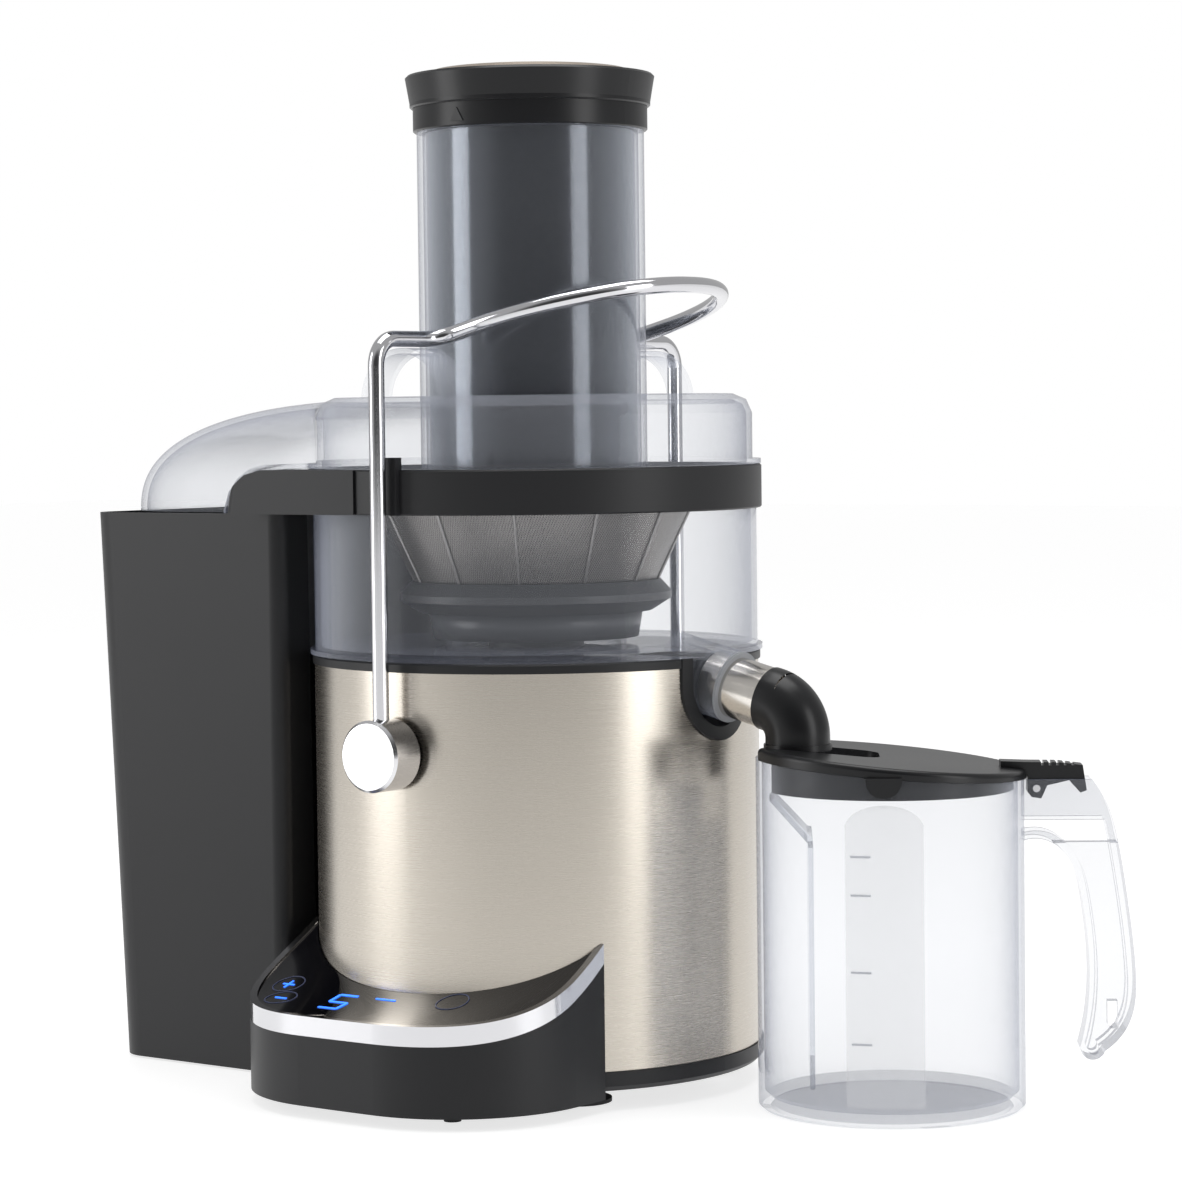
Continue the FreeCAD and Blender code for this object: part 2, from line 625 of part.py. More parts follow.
def tilted(name, radius, start, length):
    """A bound cylinder along the outlet's sloping axis; start is measured from its rim point."""
    away = "(outlet_reach + (%s) * cos(outlet_tilt))" % start
    down = "(outlet_high - (%s) * sin(outlet_tilt))" % start
    made = cylinder(name, radius, length, away, "0", down, axis=(0, 1, 0),
                    turn=90 + size["outlet_tilt"])
    bind(made, "Placement.Rotation.Angle", "90 + outlet_tilt")
    return made


def bowl():
    """Clear filter bowl with its floor flange, drive collar and outlet sleeve."""
    base = "skin_top + ring_tall + 0.1"
    inner = "bowl_radius - bowl_wall"
    shell = turned("bowl_shell", ("collar_radius - bowl_wall", base), ("flange_radius", base),
                   ("flange_radius", base + " + flange_wall"), ("bowl_radius", base + " + flange_wall"),
                   ("bowl_radius", "band_top + 0.1"), (inner, "band_top + 0.1"),
                   (inner, base + " + bowl_floor"), ("collar_radius", base + " + bowl_floor"),
                   ("collar_radius", "collar_top"), ("collar_radius - bowl_wall", "collar_top"))
    outer = "outlet_radius + sleeve_gap + sleeve_wall"
    sleeve = tilted("SleeveSolid", outer, "-26", "26 + sleeve_out")
    whole = joined("BowlWhole", "MultiFuse", shell, sleeve)
    cuts = [tilted("SleeveBore", "outlet_radius + sleeve_gap", "-8", "30")]
    cuts.append(tilted("SleeveChannel", "outlet_radius - outlet_wall", "-40", "60"))
    mouth = joined("BowlCuts", "MultiFuse", *cuts)
    node(joined("filter_bowl", "Cut", whole, mouth))


def band():
    """Black band around the bowl's rim, its two cheeks on the pulp side, and the latch boss."""
    made = turned("bowl_band", ("bowl_radius + 0.1", "band_low"), ("band_radius - 0.6", "band_low"),
                  ("band_radius", "band_low + 0.6"), ("band_radius", "band_top - 0.6"),
                  ("band_radius - 0.6", "band_top"), ("bowl_radius + 0.1", "band_top"))
    for side in (1, -1):
        drawn = sketch(made, "XZ", "%d * (band_radius - cheek_depth - 1)" % side)
        near, reach, low = "-20", "-cheek_reach", "band_low"
        outline(drawn, (reach, low), (near, low), (near, "band_top"),
                ("21 - cheek_reach", "band_top"), ("12 - cheek_reach", "band_top - 2"),
                ("5 - cheek_reach", "band_top - 7"), ("1 - cheek_reach", "band_top - 13"))
        feature(made, "Pad", drawn, "cheek_depth", back=side < 0)
    drawn = sketch(made, "XY", "band_low")
    ring(drawn, "0", "0", "bowl_radius + 0.1")
    feature(made, "Pocket", drawn, "60", back=True)
    drawn = sketch(made, "XY", "band_low")
    outline(drawn, ("-boss_half", "-(band_radius + 2)"), ("boss_half", "-(band_radius + 2)"),
            ("boss_half", "-(bowl_radius + 0.6)"), ("-boss_half", "-(bowl_radius + 0.6)"))
    feature(made, "Pad", drawn, "band_top + 5 - band_low")
    rounded(made, "5", lambda e: upright(e) and e.BoundBox.Center.x < 2 - at("cheek_reach")
            and abs(e.BoundBox.Center.y) > at("bowl_radius - 8"))


def outlet():
    """Bright outlet pipe, rubber seal and the black elbow that pours into the jug."""
    pipe = tilted("PipeSolid", "outlet_radius", "-6", "pipe_length - 10")
    bore = tilted("PipeBore", "outlet_radius - outlet_wall", "-8", "pipe_length")
    node(joined("outlet_pipe", "Cut", pipe, bore))
    rim = tilted("SealSolid", "outlet_radius + sleeve_gap + sleeve_wall", "sleeve_out + 0.1", "1.2")
    hole = tilted("SealBore", "outlet_radius", "sleeve_out", "3")
    node(joined("outlet_seal", "Cut", rim, hole))
    tilt = math.radians(size["outlet_tilt"])
    length = size["pipe_length"] - 16
    start = V(size["outlet_reach"] + (length + 0.2) * math.cos(tilt), 0,
              size["outlet_high"] - (length + 0.2) * math.sin(tilt))
    level_run = size["elbow_x"] - start.x
    corner = V(size["elbow_x"], 0, start.z - level_run * math.tan(tilt))
    foot = V(size["elbow_x"], 0, size["elbow_bottom"])
    bend = size["elbow_radius"] + 2.0
    turn = math.pi / 2 - tilt
    back = bend * math.tan(turn / 2)
    along = (start - corner).normalize()
    tangent_in, tangent_out = corner + along * back, corner + V(0, 0, -back)
    middle = corner + (along + V(0, 0, -1)).normalize() * (bend / math.cos(turn / 2) - bend)
    path = Part.Wire([Part.makeLine(start, tangent_in),
                      Part.Arc(tangent_in, middle, tangent_out).toShape(),
                      Part.makeLine(tangent_out, foot)])
    shells = []
    for radius in (size["elbow_radius"], size["elbow_radius"] - size["elbow_wall"]):
        circle = Part.Wire([Part.makeCircle(radius, start, along)])
        shells.append(path.makePipeShell([circle], True, True))
    lip = Part.makeCylinder(size["elbow_radius"] + 0.7, 2.5, foot)
    bore = Part.makeCylinder(size["elbow_radius"] - size["elbow_wall"], 4, foot - V(0, 0, 1))
    inside = Part.makeCylinder(size["outlet_radius"] + 0.05, 8.2, start - along * -0.2, -along)
    shaped("outlet_elbow", shells[0].fuse(lip).cut(shells[1]).cut(bore).cut(inside))


# ---------------------------------------------------------------- lid, chute, hood and pusher

def lid():
    """Clear lid with two arched ears for the arm, the feed chute and the pulp hood."""
    low = "band_top + 0.3"
    inner = "lid_radius - lid_wall"
    dome = turned("lid_dome", (inner, low), ("flange_radius", low),
                  ("flange_radius", low + " + flange_wall"), ("lid_radius", low + " + flange_wall"),
                  ("lid_radius", "lid_top - lid_round"),
                  ("lid_radius - 0.3 * lid_round", "lid_top - 0.3 * lid_round"),
                  ("lid_radius - lid_round", "lid_top"), ("chute_radius + 0.05", "lid_top"),
                  ("chute_radius + 0.05", "lid_top - lid_wall"),
                  ("lid_radius - lid_round", "lid_top - lid_wall"),
                  (inner + " - 0.2 * lid_round", "lid_top - 0.3 * lid_round - lid_wall * 0.8"),
                  (inner, "lid_top - lid_round"))
    drawn = sketch(dome, "YZ", "40")
    half = "(hood_half - hood_wall)"
    outline(drawn, ("-" + half, low + " + flange_wall + 1"), (half, low + " + flange_wall + 1"),
            (half, "lid_top - lid_round - 1"), ("-" + half, "lid_top - lid_round - 1"))
    feature(dome, "Pocket", drawn, "140")
    for side, name in ((-1, "Front"), (1, "Rear")):
        length = "ear_far - ear_near"
        start = "%d * ear_near" % side
        turn = 90 if side < 0 else -90
        outer = cylinder(name + "Outer", "ear_radius", length, "0", start,
                         "ear_crown - ear_radius", (1, 0, 0), turn)
        hollow = cylinder(name + "Hollow", "ear_radius - ear_wall", length, "0", start,
                          "ear_crown - ear_radius", (1, 0, 0), turn)
        arch = joined(name + "Arch", "Cut", outer, hollow)
        lift = block(name + "Above", ("-60", "-160", "lid_top"), ("60", "160", "lid_top + 60"))
        node(joined("lid_ear_" + name.lower(), "MultiCommon", arch, lift))
    notch = block("BossNotch", ("-boss_half - 1", "-(band_radius + 4)", "band_top"),
                  ("boss_half + 1", "-(bowl_radius + 0.2)", "band_top + 8"))
    dome.Label = "lid_blank"
    node(joined("juicer_lid", "Cut", dome, notch))
    turned("feed_chute", ("chute_radius - chute_wall", "chute_low"), ("chute_radius", "chute_low"),
           ("chute_radius", "chute_top"), ("chute_radius - chute_wall", "chute_top"))
    seal = "flange_radius - 4.6"
    turned("lid_seal", (seal + " - 2.2", "band_top - 3"), (seal, "band_top - 3"),
           (seal, "band_top + 0.2"), (seal + " - 2.2", "band_top + 0.2"))


def hood_solid(label, gap, foot):
    """The hood's solid set in by gap: its arched side view, its bevelled end view, its plan."""
    side = body(label + "_side")
    drawn = sketch(side, "XZ")
    outline(drawn, ("-hood_start", foot), ("-hood_start", "lid_top - 2.5 - " + gap),
            ("-hood_reach + 2 + " + gap, "hood_low + 8"), ("-hood_reach + " + gap, foot),
            bulge=(1, "hood_arch - " + gap))
    feature(side, "Pad", drawn, "2 * hood_half", both=True)
    plan = body(label + "_plan")
    half, reach = "(hood_half - %s)" % gap, "-(hood_reach - %s)" % gap
    drawn = sketch(plan, "XY", foot)
    outline(drawn, ("-hood_start", "-" + half), ("-hood_start", half), (reach, half),
            (reach, "-" + half))
    feature(plan, "Pad", drawn, "60")
    rounded(plan, "16 - " + gap, lambda e: upright(e) and e.BoundBox.XMax < -100)
    end = body(label + "_end")
    drawn = sketch(end, "YZ")
    top = "lid_top - %s" % gap
    outline(drawn, ("-" + half, foot), (half, foot), (half, top + " - 14"), (half + " - 4", top + " - 6"),
            (half + " - 14", top), ("-%s + 14" % half, top), ("-%s + 4" % half, top + " - 6"),
            ("-" + half, top + " - 14"))
    feature(end, "Pad", drawn, "hood_reach + 10", back=True)
    return joined(label, "MultiCommon", side, plan, end)


def hood():
    """Clear hood from the lid's side over the pulp container, with its flange on the cheeks."""
    flanges = []
    for way, name in ((1, "front"), (-1, "rear")):
        flange = body("hood_flange_" + name)
        drawn = sketch(flange, "XZ", "%d * (hood_half - 0.5)" % way)
        shape = (("-30", "0.3"), ("21 - cheek_reach", "0.3"), ("11.5 - cheek_reach", "-1.6"),
                 ("4.3 - cheek_reach", "-6.6"), ("0.1 - cheek_reach", "-12.8"),
                 ("-cheek_reach - 0.6", "-18.2"), ("-cheek_reach - 2.6", "-18.2"),
                 ("-cheek_reach - 1.6", "-11.8"), ("2.9 - cheek_reach", "-5.2"),
                 ("10.6 - cheek_reach", "0.4"), ("20.5 - cheek_reach", "2.3"), ("-30", "2.3"))
        outline(drawn, *[(x, "band_top + " + rise) for x, rise in shape])
        feature(flange, "Pad", drawn, "22", back=way < 0)
        flanges.append(flange)
    blank = joined("hood_whole", "MultiFuse", hood_solid("hood_blank", "0", "hood_low"), *flanges)
    hollow = hood_solid("hood_hollow", "hood_wall", "hood_low - 1")
    round_cut = cylinder("HoodRound", "band_radius + 0.3", "60", z="hood_low - 2")
    node(joined("pulp_hood", "Cut", joined("hood_shell", "Cut", blank, hollow), round_cut))


def pusher():
    """Smoked pusher tube with a collar, a flared cap and a metal disc let into its top."""
    low, wall = "tube_low", "tube_wall"
    turned("pusher_tube", ("0", low), ("tube_radius - 3", low), ("tube_radius", low + " + 3"),
           ("tube_radius", "chute_top - 0.1"), ("tube_radius - " + wall, "chute_top - 0.1"),
           ("tube_radius - " + wall, low + " + 4"), ("0", low + " + 4"))
    base = "chute_top + 0.1"
    top = "chute_top + collar_tall"
    collar = turned("pusher_collar", ("tube_radius - tube_wall", base), ("collar_rim - 0.5", base),
                    ("collar_rim", base + " + 0.5"), ("collar_rim", top), ("tube_radius - tube_wall", top))
    mark = sketch(collar, "XZ")
    turned("pusher_cap", ("0", top), ("cap_radius - 0.6", top), ("cap_radius", top + " + 0.6"),
                 ("cap_radius", top + " + 2"), ("cap_flare", "cap_top - 1"),
                 ("cap_flare - 1", "cap_top"), ("insert_radius + 0.2", "cap_top"),
                 ("insert_radius + 0.2", "cap_top - 2"), ("0", "cap_top - 2"))
    turned("pusher_disc", ("0", "cap_top - 1.9"), ("insert_radius", "cap_top - 1.9"),
           ("insert_radius", "cap_top - 0.2"), ("insert_radius - 5", "cap_top + 0.7 * insert_rise"),
           ("insert_radius - 15", "cap_top + insert_rise"), ("0", "cap_top + insert_rise + 0.4"))
    outline(mark, ("-3.2", base + " + 2"), ("3.2", base + " + 2"), ("0", base + " + 7.5"))
    feature(collar, "Pad", mark, "collar_rim + 0.4")


# ---------------------------------------------------------------- basket

def basket():
    """Mesh cone with its ribs, rim, hub and the grater disc with its teeth."""
    low, high = "mesh_low", "mesh_top"
    low_radius, top_radius = "mesh_low_radius", "mesh_top_radius"
    turned("basket_mesh", (low_radius + " - mesh_wall", low), (low_radius, low),
           (top_radius, high), (top_radius + " - mesh_wall", high))
    turned("basket_rim", (top_radius + " - mesh_wall", high + " + 0.05"),
           (top_radius + " + rim_wall", high + " + 0.05"),
           (top_radius + " + rim_wall", high + " + rim_tall"),
           (top_radius + " - mesh_wall", high + " + rim_tall"))
    turned("basket_hub", ("shaft_radius", "hub_low"), ("hub_radius - 8", "hub_low"),
                 ("hub_radius", "hub_low + 5"), ("hub_radius", "hub_low + 8"),
                 (low_radius + " + 1.5", low + " - 0.05"), ("shaft_radius", low + " - 0.05"))
    turned("grater_disc", ("0", low + " + 0.05"), ("disc_radius", low + " + 0.05"),
           ("disc_radius", low + " + 1.2"), ("12", low + " + 1.2"), ("8", low + " + 4"),
           ("0", low + " + 5"))
    teeth = body("grater_teeth")
    drawn = sketch(teeth, "XZ")
    outline(drawn, ("14", low + " + 1.3"), ("disc_radius - 3", low + " + 1.3"),
            ("disc_radius - 3", low + " + 3.6"), ("14", low + " + 3.6"))
    tooth = feature(teeth, "Pad", drawn, "0.8", both=True)
    turn = teeth.newObject("PartDesign::PolarPattern", "TeethAround")
    turn.Originals = [tooth]
    turn.Axis = (drawn, ["V_Axis"])
    turn.Angle = 360
    bind(turn, "Occurrences", "tooth_count")
    teeth.Tip = turn
    doc.recompute()


# ---------------------------------------------------------------- locking arm

def bent_rod(points, radius, bend):
    """A round rod along straight runs joined by arcs of one bend radius."""
    edges = []
    start = points[0]
    for i in range(1, len(points) - 1):
        corner = points[i]
        back = (points[i - 1] - corner).normalize()
        on = (points[i + 1] - corner).normalize()
        half = back.getAngle(on) / 2
        trim = bend[i - 1] / math.tan(half)
        enter, leave = corner + back * trim, corner + on * trim
        away = (back + on).normalize()
        middle = corner + away * (bend[i - 1] / math.sin(half) - bend[i - 1])
        if (enter - start).Length > 1e-6:
            edges.append(Part.makeLine(start, enter))
        edges.append(Part.Arc(enter, middle, leave).toShape())
        start = leave
    edges.append(Part.makeLine(start, points[-1]))
    path = Part.Wire(edges)
    along = (points[1] - points[0]).normalize()
    circle = Part.Wire([Part.makeCircle(radius, points[0], along)])
    return path.makePipeShell([circle], True, True)


def arm():
    """Chrome locking arm, its two knobs, pivot pins and washers."""
    half, high, near = size["arm_half"], size["arm_high"], size["loop_half"]
    reach, top, pivot = size["loop_reach"], size["loop_high"], size["pivot_high"]
    slope = (top - high) / reach
    spots = [V(0, -half, pivot), V(0, -half, high), V(0, -near, high),
             V(reach, -near, high + slope * reach), V(reach, near, high + slope * reach),
             V(0, near, high), V(0, half, high), V(0, half, pivot)]
    bend = size["bend_radius"]
    turn = near - 2
    rod = bent_rod(spots, size["rod_radius"], [bend, bend, turn, turn, bend, bend])
    shaped("locking_arm", rod)
    for side, name in ((-1, "front"), (1, "rear")):
        turn = 90 if side < 0 else -90
        knob = turned("knob_blank_" + name, ("0", "0"), ("knob_radius", "0"),
                      ("knob_radius", "knob_far - knob_near - 1.2"),
                      ("knob_radius - 1.2", "knob_far - knob_near"), ("0", "knob_far - knob_near"))
        knob.Placement = FreeCAD.Placement(V(), FreeCAD.Rotation(V(1, 0, 0), turn))
        bind(knob, "Placement.Base.y", "%d * knob_near" % side)
        bind(knob, "Placement.Base.z", "pivot_high")
        hole = cylinder("KnobHole" + name, "rod_radius", "knob_radius + 5", "0",
                        "%d * arm_half" % side, "pivot_high")
        node(joined("arm_knob_" + name, "Cut", knob, hole))
        pin = cylinder("PivotPin" + name, "pin_radius", "knob_near - skin_radius + 14", "0",
                       "%d * (skin_radius - 14)" % side, "pivot_high", (1, 0, 0), turn)
        pin.Label = "pivot_pin_" + name
        node(pin)
        outer = cylinder("WasherOuter" + name, "washer_radius", "knob_near - skin_radius - 0.6",
                         "0", "%d * (skin_radius + 0.3)" % side, "pivot_high", (1, 0, 0), turn)
        inner = cylinder("WasherInner" + name, "pin_radius + run_gap", "knob_near", "0",
                         "%d * (skin_radius - 5)" % side, "pivot_high", (1, 0, 0), turn)
        fitted = joined("WasherRing" + name, "Cut", outer, inner)
        wall = cylinder("WasherWall" + name, "skin_radius + 0.1", "60", z="pivot_high - 30")
        node(joined("pivot_washer_" + name, "Cut", fitted, wall))


# ---------------------------------------------------------------- pulp container

def tapered(label, inset, floor):
    """A block with rounded corners that narrows downward from the bin's top."""
    made = body(label)
    near, reach, half = ("-(bin_near + %s)" % inset, "-(bin_reach - %s)" % inset,
                         "(bin_half - %s)" % inset)
    drawn = sketch(made, "XY", "bin_top")
    outline(drawn, (near, "-" + half), (near, half), (reach, half), (reach, "-" + half))
    blank = feature(made, "Pad", drawn, "bin_top - (%s)" % floor, back=True)
    bind(blank, "TaperAngle", "-atan(bin_taper / (bin_top - bin_low))")
    rounded(made, "16 - %s" % inset, lambda e: upright(e) and e.BoundBox.Center.x < -at("bin_near") - 40)
    rounded(made, "6 - %s" % inset, lambda e: upright(e) and e.BoundBox.Center.x > -at("bin_near") - 15)
    drawn = ring(sketch(made, "XY"), "0", "0", "band_radius + bin_clear + %s" % inset)
    feature(made, "Pocket", drawn, "400", back=True)
    return made


def container():
    """Tapered bin whose inner side is hollowed to fit round the motor body."""
    blank = tapered("bin_blank", "0", "bin_low")
    hollow = tapered("bin_hollow", "bin_wall", "bin_low + bin_wall")
    node(joined("pulp_container", "Cut", blank, hollow))


# ---------------------------------------------------------------- jug

def in_jug(made):
    """Give a jug piece the jug's own place and turn."""
    made.Placement = FreeCAD.Placement(V(), FreeCAD.Rotation(V(0, 0, 1), 30))
    bind(made, "Placement.Base.x", "jug_x")
    bind(made, "Placement.Base.y", "(jug_x - elbow_x) * tan(jug_turn)")
    bind(made, "Placement.Rotation.Angle", "jug_turn")
    return made


def sloped(made, lift):
    """Cut a jug piece off along the slope of the jug's rim, raised by lift."""
    fall = "10 * rim_rise / (2 * jug_radius)"
    far = "(jug_radius + 10)"
    drawn = sketch(made, "XZ")
    outline(drawn, ("-" + far, "rim_high + %s + %s" % (lift, fall)),
            (far, "rim_low + %s - %s" % (lift, fall)), (far, "rim_high + 60"),
            ("-" + far, "rim_high + 60"))
    feature(made, "Pocket", drawn, "300", both=True)


def jug():
    """Clear jug, the froth separator plate, the handle and the black hinged cover."""
    inner = "jug_radius - jug_wall"
    cup = turned("jug_cup", ("0", "1"), ("jug_radius - 6", "1"), ("jug_radius - 5", "0"),
                 ("jug_radius - 1.5", "0"), ("jug_radius", "1.5"), ("jug_radius", "rim_high + 1"),
                 (inner, "rim_high + 1"), (inner, "jug_base + 2"), (inner + " - 2", "jug_base"),
                 ("0", "jug_base"))
    sloped(cup, "0")
    in_jug(cup)
    plate = body("froth_separator")
    half = "sqrt((%s - 0.4)^2 - (plate_off + plate_thick)^2)" % inner
    drawn = sketch(plate, "YZ", "-plate_off - plate_thick")
    outline(drawn, ("-" + half, "jug_base + 8"), (half, "jug_base + 8"), (half, "plate_top"),
            ("-" + half, "plate_top"))
    feature(plate, "Pad", drawn, "plate_thick")
    drawn = sketch(plate, "XZ")
    outline(drawn, ("-plate_off - plate_thick", "plate_top - 1"), ("-plate_off", "plate_top - 1"),
            ("-plate_off", "plate_top + 1"), ("7.5 - jug_radius", "plate_top + 17"),
            ("5.5 - jug_radius", "plate_top + 16"))
    feature(plate, "Pad", drawn, "30", both=True)
    in_jug(plate)
    handle()
    cover()


# side view of the handle: distance out from the jug's wall, share of the rim's height
HANDLE_OUT = ((26.5, 1), (32.5, 0.9237), (36.8, 0.8015), (40.5, 0.6183), (43.1, 0.4351),
              (42, 0.2863), (31, 0.1725))
HANDLE_IN = ((21.1, 0.1832), (25, 0.3817), (24.5, 0.5015), (22.5, 0.6229), (18.1, 0.745),
             (12.5, 0.7977), (-0.5, 0.8168))


def jug_place():
    """The jug's placement read from the sheet."""
    spin = FreeCAD.Rotation(V(0, 0, 1), size["jug_turn"])
    return FreeCAD.Placement(V(size["jug_x"], at("(jug_x - elbow_x) * tan(jug_turn)"), 0), spin)


def handle():
    """The jug's hooked handle: a rim round a thin web, slotted at the top for the lever."""
    wide, tall = size["jug_radius"], size["jug_top"]

    def line(points, inset):
        """The listed points beside the jug's wall, set in to their right-hand side."""
        spots = [V(wide + out, 0, tall * share) for out, share in points]
        moved = []
        for i, spot in enumerate(spots):
            run = (spots[min(i + 1, len(spots) - 1)] - spots[max(i - 1, 0)]).normalize()
            moved.append(spot + V(run.z, 0, -run.x) * inset)
        return moved

    def side_face(inset):
        """The handle's side view, drawn through the points and set in all round."""
        out, back = line(HANDLE_OUT, inset), line(HANDLE_IN, inset)
        out[0] = V(out[0].x, 0, tall - inset)
        root, low_root = V(wide - 5.5, 0, out[0].z), V(wide - 5.5, 0, back[-1].z)
        edges = [Part.makeLine(root, out[0])]
        for spots in (out, back):
            curve = Part.BSplineCurve()
            curve.interpolate(spots)
            edges.append(curve.toShape())
        under = (out[-1] + back[0]) * 0.5 + V(-0.6, 0, -4.2 + inset * 0.4)
        edges.insert(2, Part.Arc(out[-1], under, back[0]).toShape())
        edges += [Part.makeLine(back[-1], low_root), Part.makeLine(low_root, root)]
        return Part.Face(Part.Wire(edges))

    half, web, rim = size["handle_half"], size["web_half"], size["rim_thick"]
    face = side_face(0)
    solid = face.extrude(V(0, 2 * half, 0))
    solid.translate(V(0, -half, 0))
    for side in (-1, 1):
        cut = side_face(rim).extrude(V(0, half, 0))
        cut.translate(V(0, web if side > 0 else -web - half, 0))
        solid = solid.cut(cut)
    hinge_x, hinge_z = size["hinge_x"], size["hinge_high"]
    gap = size["lever_half"] + 0.4
    trough = Part.makeBox(60, 2 * gap, 40, V(hinge_x - 10, -gap, hinge_z - 22))
    solid = solid.cut(trough)
    sides = Part.makeBox(40, 2 * half, 16, V(wide - 5.5, -half, hinge_z - 12.5))
    sides = sides.cut(Part.makeBox(60, 2 * gap, 60, V(30, -gap, hinge_z - 30)))
    solid = solid.fuse(sides.common(face.extrude(V(0, 2 * half, 0)).translated(V(0, -half, 0))))
    solid = solid.cut(Part.makeCylinder(size["hinge_pin"], 60, V(hinge_x, -30, hinge_z), V(0, 1, 0)))
    wall = Part.makeCylinder(size["jug_radius"], 200, V(0, 0, -10))
    low_end = tall * 0.25
    slot = Part.makeCylinder(2, 40, V(wide + 34.5, -20, low_end), V(0, 1, 0))
    slot = slot.fuse(Part.makeBox(4, 40, 9, V(wide + 32.5, -20, low_end)))
    solid = solid.cut(wall).cut(slot).removeSplitter()
    made = shaped("jug_handle", solid)
    made.Placement = jug_place()
    pin = Part.makeCylinder(size["hinge_pin"], 2 * half - 1, V(hinge_x, -half + 0.5, hinge_z),
                            V(0, 1, 0))
    shaped("cover_hinge_pin", pin).Placement = jug_place()


def dome_cut(made, drop):
    """Cut a cover piece off along its sloping top, lowered by drop."""
    far = "(jug_radius + 10)"
    fall = "10 * (cover_high - cover_end) / (2 * jug_radius)"
    drawn = sketch(made, "XZ")
    outline(drawn, ("-" + far, "cover_high - %s + %s" % (drop, fall)),
            (far, "cover_end - %s - %s" % (drop, fall)), (far, "cover_high + 60"),
            ("-" + far, "cover_high + 60"))
    feature(made, "Pocket", drawn, "300", both=True)


def cover():
    """Black cover: a sloping cap with a notch for the elbow, a hinged lever and a front tab."""
    cap = body("cover_cap")
    feature(cap, "Pad", ring(sketch(cap, "XY", "jug_top - 2"), "0", "0", "jug_radius + 1"), "60")
    dome_cut(cap, "0")
    rounded(cap, "2", lambda e: e.BoundBox.ZMin > at("cover_end") - 0.5
            and e.BoundBox.ZLength > 3)
    below = body("cover_below")
    feature(below, "Pad", ring(sketch(below, "XY", "jug_top - 10"), "0", "0", "jug_radius + 4"),
            "80")
    sloped(below, "cover_gap")
    core = body("cover_core")
    feature(core, "Pad", ring(sketch(core, "XY", "jug_top - 10"), "0", "0", "jug_radius - 3"),
            "60")
    dome_cut(core, "3")
    shell = joined("cover_shell", "Cut", joined("cover_top", "Cut", cap, below), core)
    low = "jug_top + cover_gap"
    inner, outer = "jug_radius - jug_wall - 4", "jug_radius - jug_wall - 1.6"
    skirt = turned("cover_skirt", (inner, low + " - 4"), (outer, low + " - 4"),
                   (outer, "cover_high"), (inner, "cover_high"))
    dome_cut(skirt, "1")
    lever = body("cover_lever")
    drawn = sketch(lever, "XZ")
    outline(drawn, ("hinge_x - 3.4", "hinge_high - 1.6"),
            ("hinge_x - 1.8", "hinge_high - 3.6"), ("hinge_x + 2", "hinge_high - 4.2"),
            ("hinge_x + 4.4", "hinge_high + 1"), ("hinge_x + 13", "hinge_high + 3"),
            ("hinge_x + 17.5", "hinge_high - 2"), ("hinge_x + 20", "hinge_high - 1"),
            ("hinge_x + 18.5", "hinge_high + 9"), ("hinge_x + 9", "hinge_high + 10.2"),
            ("hinge_x - 4", "hinge_high + 10.4"), ("hinge_x - 14", low + " + 7"),
            ("hinge_x - 14", low + " + 3"), ("hinge_x - 8", low + " + 1.6"),
            ("hinge_x - 3.4", low + " + 1.6"))
    feature(lever, "Pad", drawn, "2 * lever_half", both=True)
    for i in range(5):
        groove = sketch(lever, "XZ")
        place_x = "hinge_x + %d" % (2 + 3 * i)
        outline(groove, (place_x, "hinge_high + 9"), (place_x + " + 1.2", "hinge_high + 9"),
                (place_x + " + 1.2", "hinge_high + 12"), (place_x, "hinge_high + 12"))
        feature(lever, "Pocket", groove, "40", both=True)
    bore = cylinder("LeverBore", "hinge_pin + run_gap", "60", "hinge_x", "-30", "hinge_high",
                    (1, 0, 0), -90)
    tab_high = "(rim_low + rim_high) / 2"
    tab = cylinder("TabRound", "7", "2.2", "-4", "-(jug_radius + 0.6)", tab_high, (1, 0, 0), 90)
    tab_low = block("TabBelow", ("-20", "-80", tab_high + " - 8"), ("20", "-20", tab_high + " + 1"))
    tongue = joined("FrontTab", "MultiCommon", tab, tab_low)
    whole = joined("cover_whole", "MultiFuse", shell, skirt, lever, tongue)
    bored = joined("cover_bored", "Cut", whole, bore)
    notch = body("cover_notch")
    drawn = sketch(notch, "XY", "jug_top - 20")
    outline(drawn, ("-notch_end", "-notch_half"), ("-notch_end", "notch_half"),
            ("19.5 - jug_radius", "notch_half"),
            ("-jug_radius - 16.5", "notch_half + 36 * tan(jug_turn)"),
            ("-jug_radius - 36.5", "notch_half + 36 * tan(jug_turn)"),
            ("-jug_radius - 36.5", "-notch_half"))
    feature(notch, "Pad", drawn, "60")
    rounded(notch, "8", lambda e: upright(e) and e.BoundBox.Center.x > -at("notch_end") - 1)
    cut = node(joined("jug_cover", "Cut", bored, notch))
    in_jug(cut)


# ---------------------------------------------------------------- inlet

def inlet():
    """Moulded gland low on the back where the supply lead enters."""
    low = "skin_low + 18"
    outer = cylinder("GlandOuter", "9", "14", "0", "skin_radius - skin_wall - fit_gap - tub_wall - 4",
                     low, (1, 0, 0), -90)
    bore = cylinder("GlandBore", "3.6", "60", "0", "skin_radius - 40", low, (1, 0, 0), -90)
    node(joined("cord_gland", "Cut", outer, bore))
    for name in ("body_skin", "inner_tub"):
        wall = [n for n in nodes if n.Label == name][0]
        wall.Label = name + "_blank"
        hole = cylinder("InletHole", "9", "40", "0", "skin_radius - 20", low, (1, 0, 0), -90)
        node(joined(name, "Cut", wall, hole))


# ---------------------------------------------------------------- the assembly

motor_base()
outlet_surround()
motor()
feet()
control_panel()
bowl()
band()
outlet()
lid()
hood()
pusher()
basket()
arm()
container()
jug()
inlet()
doc.recompute()

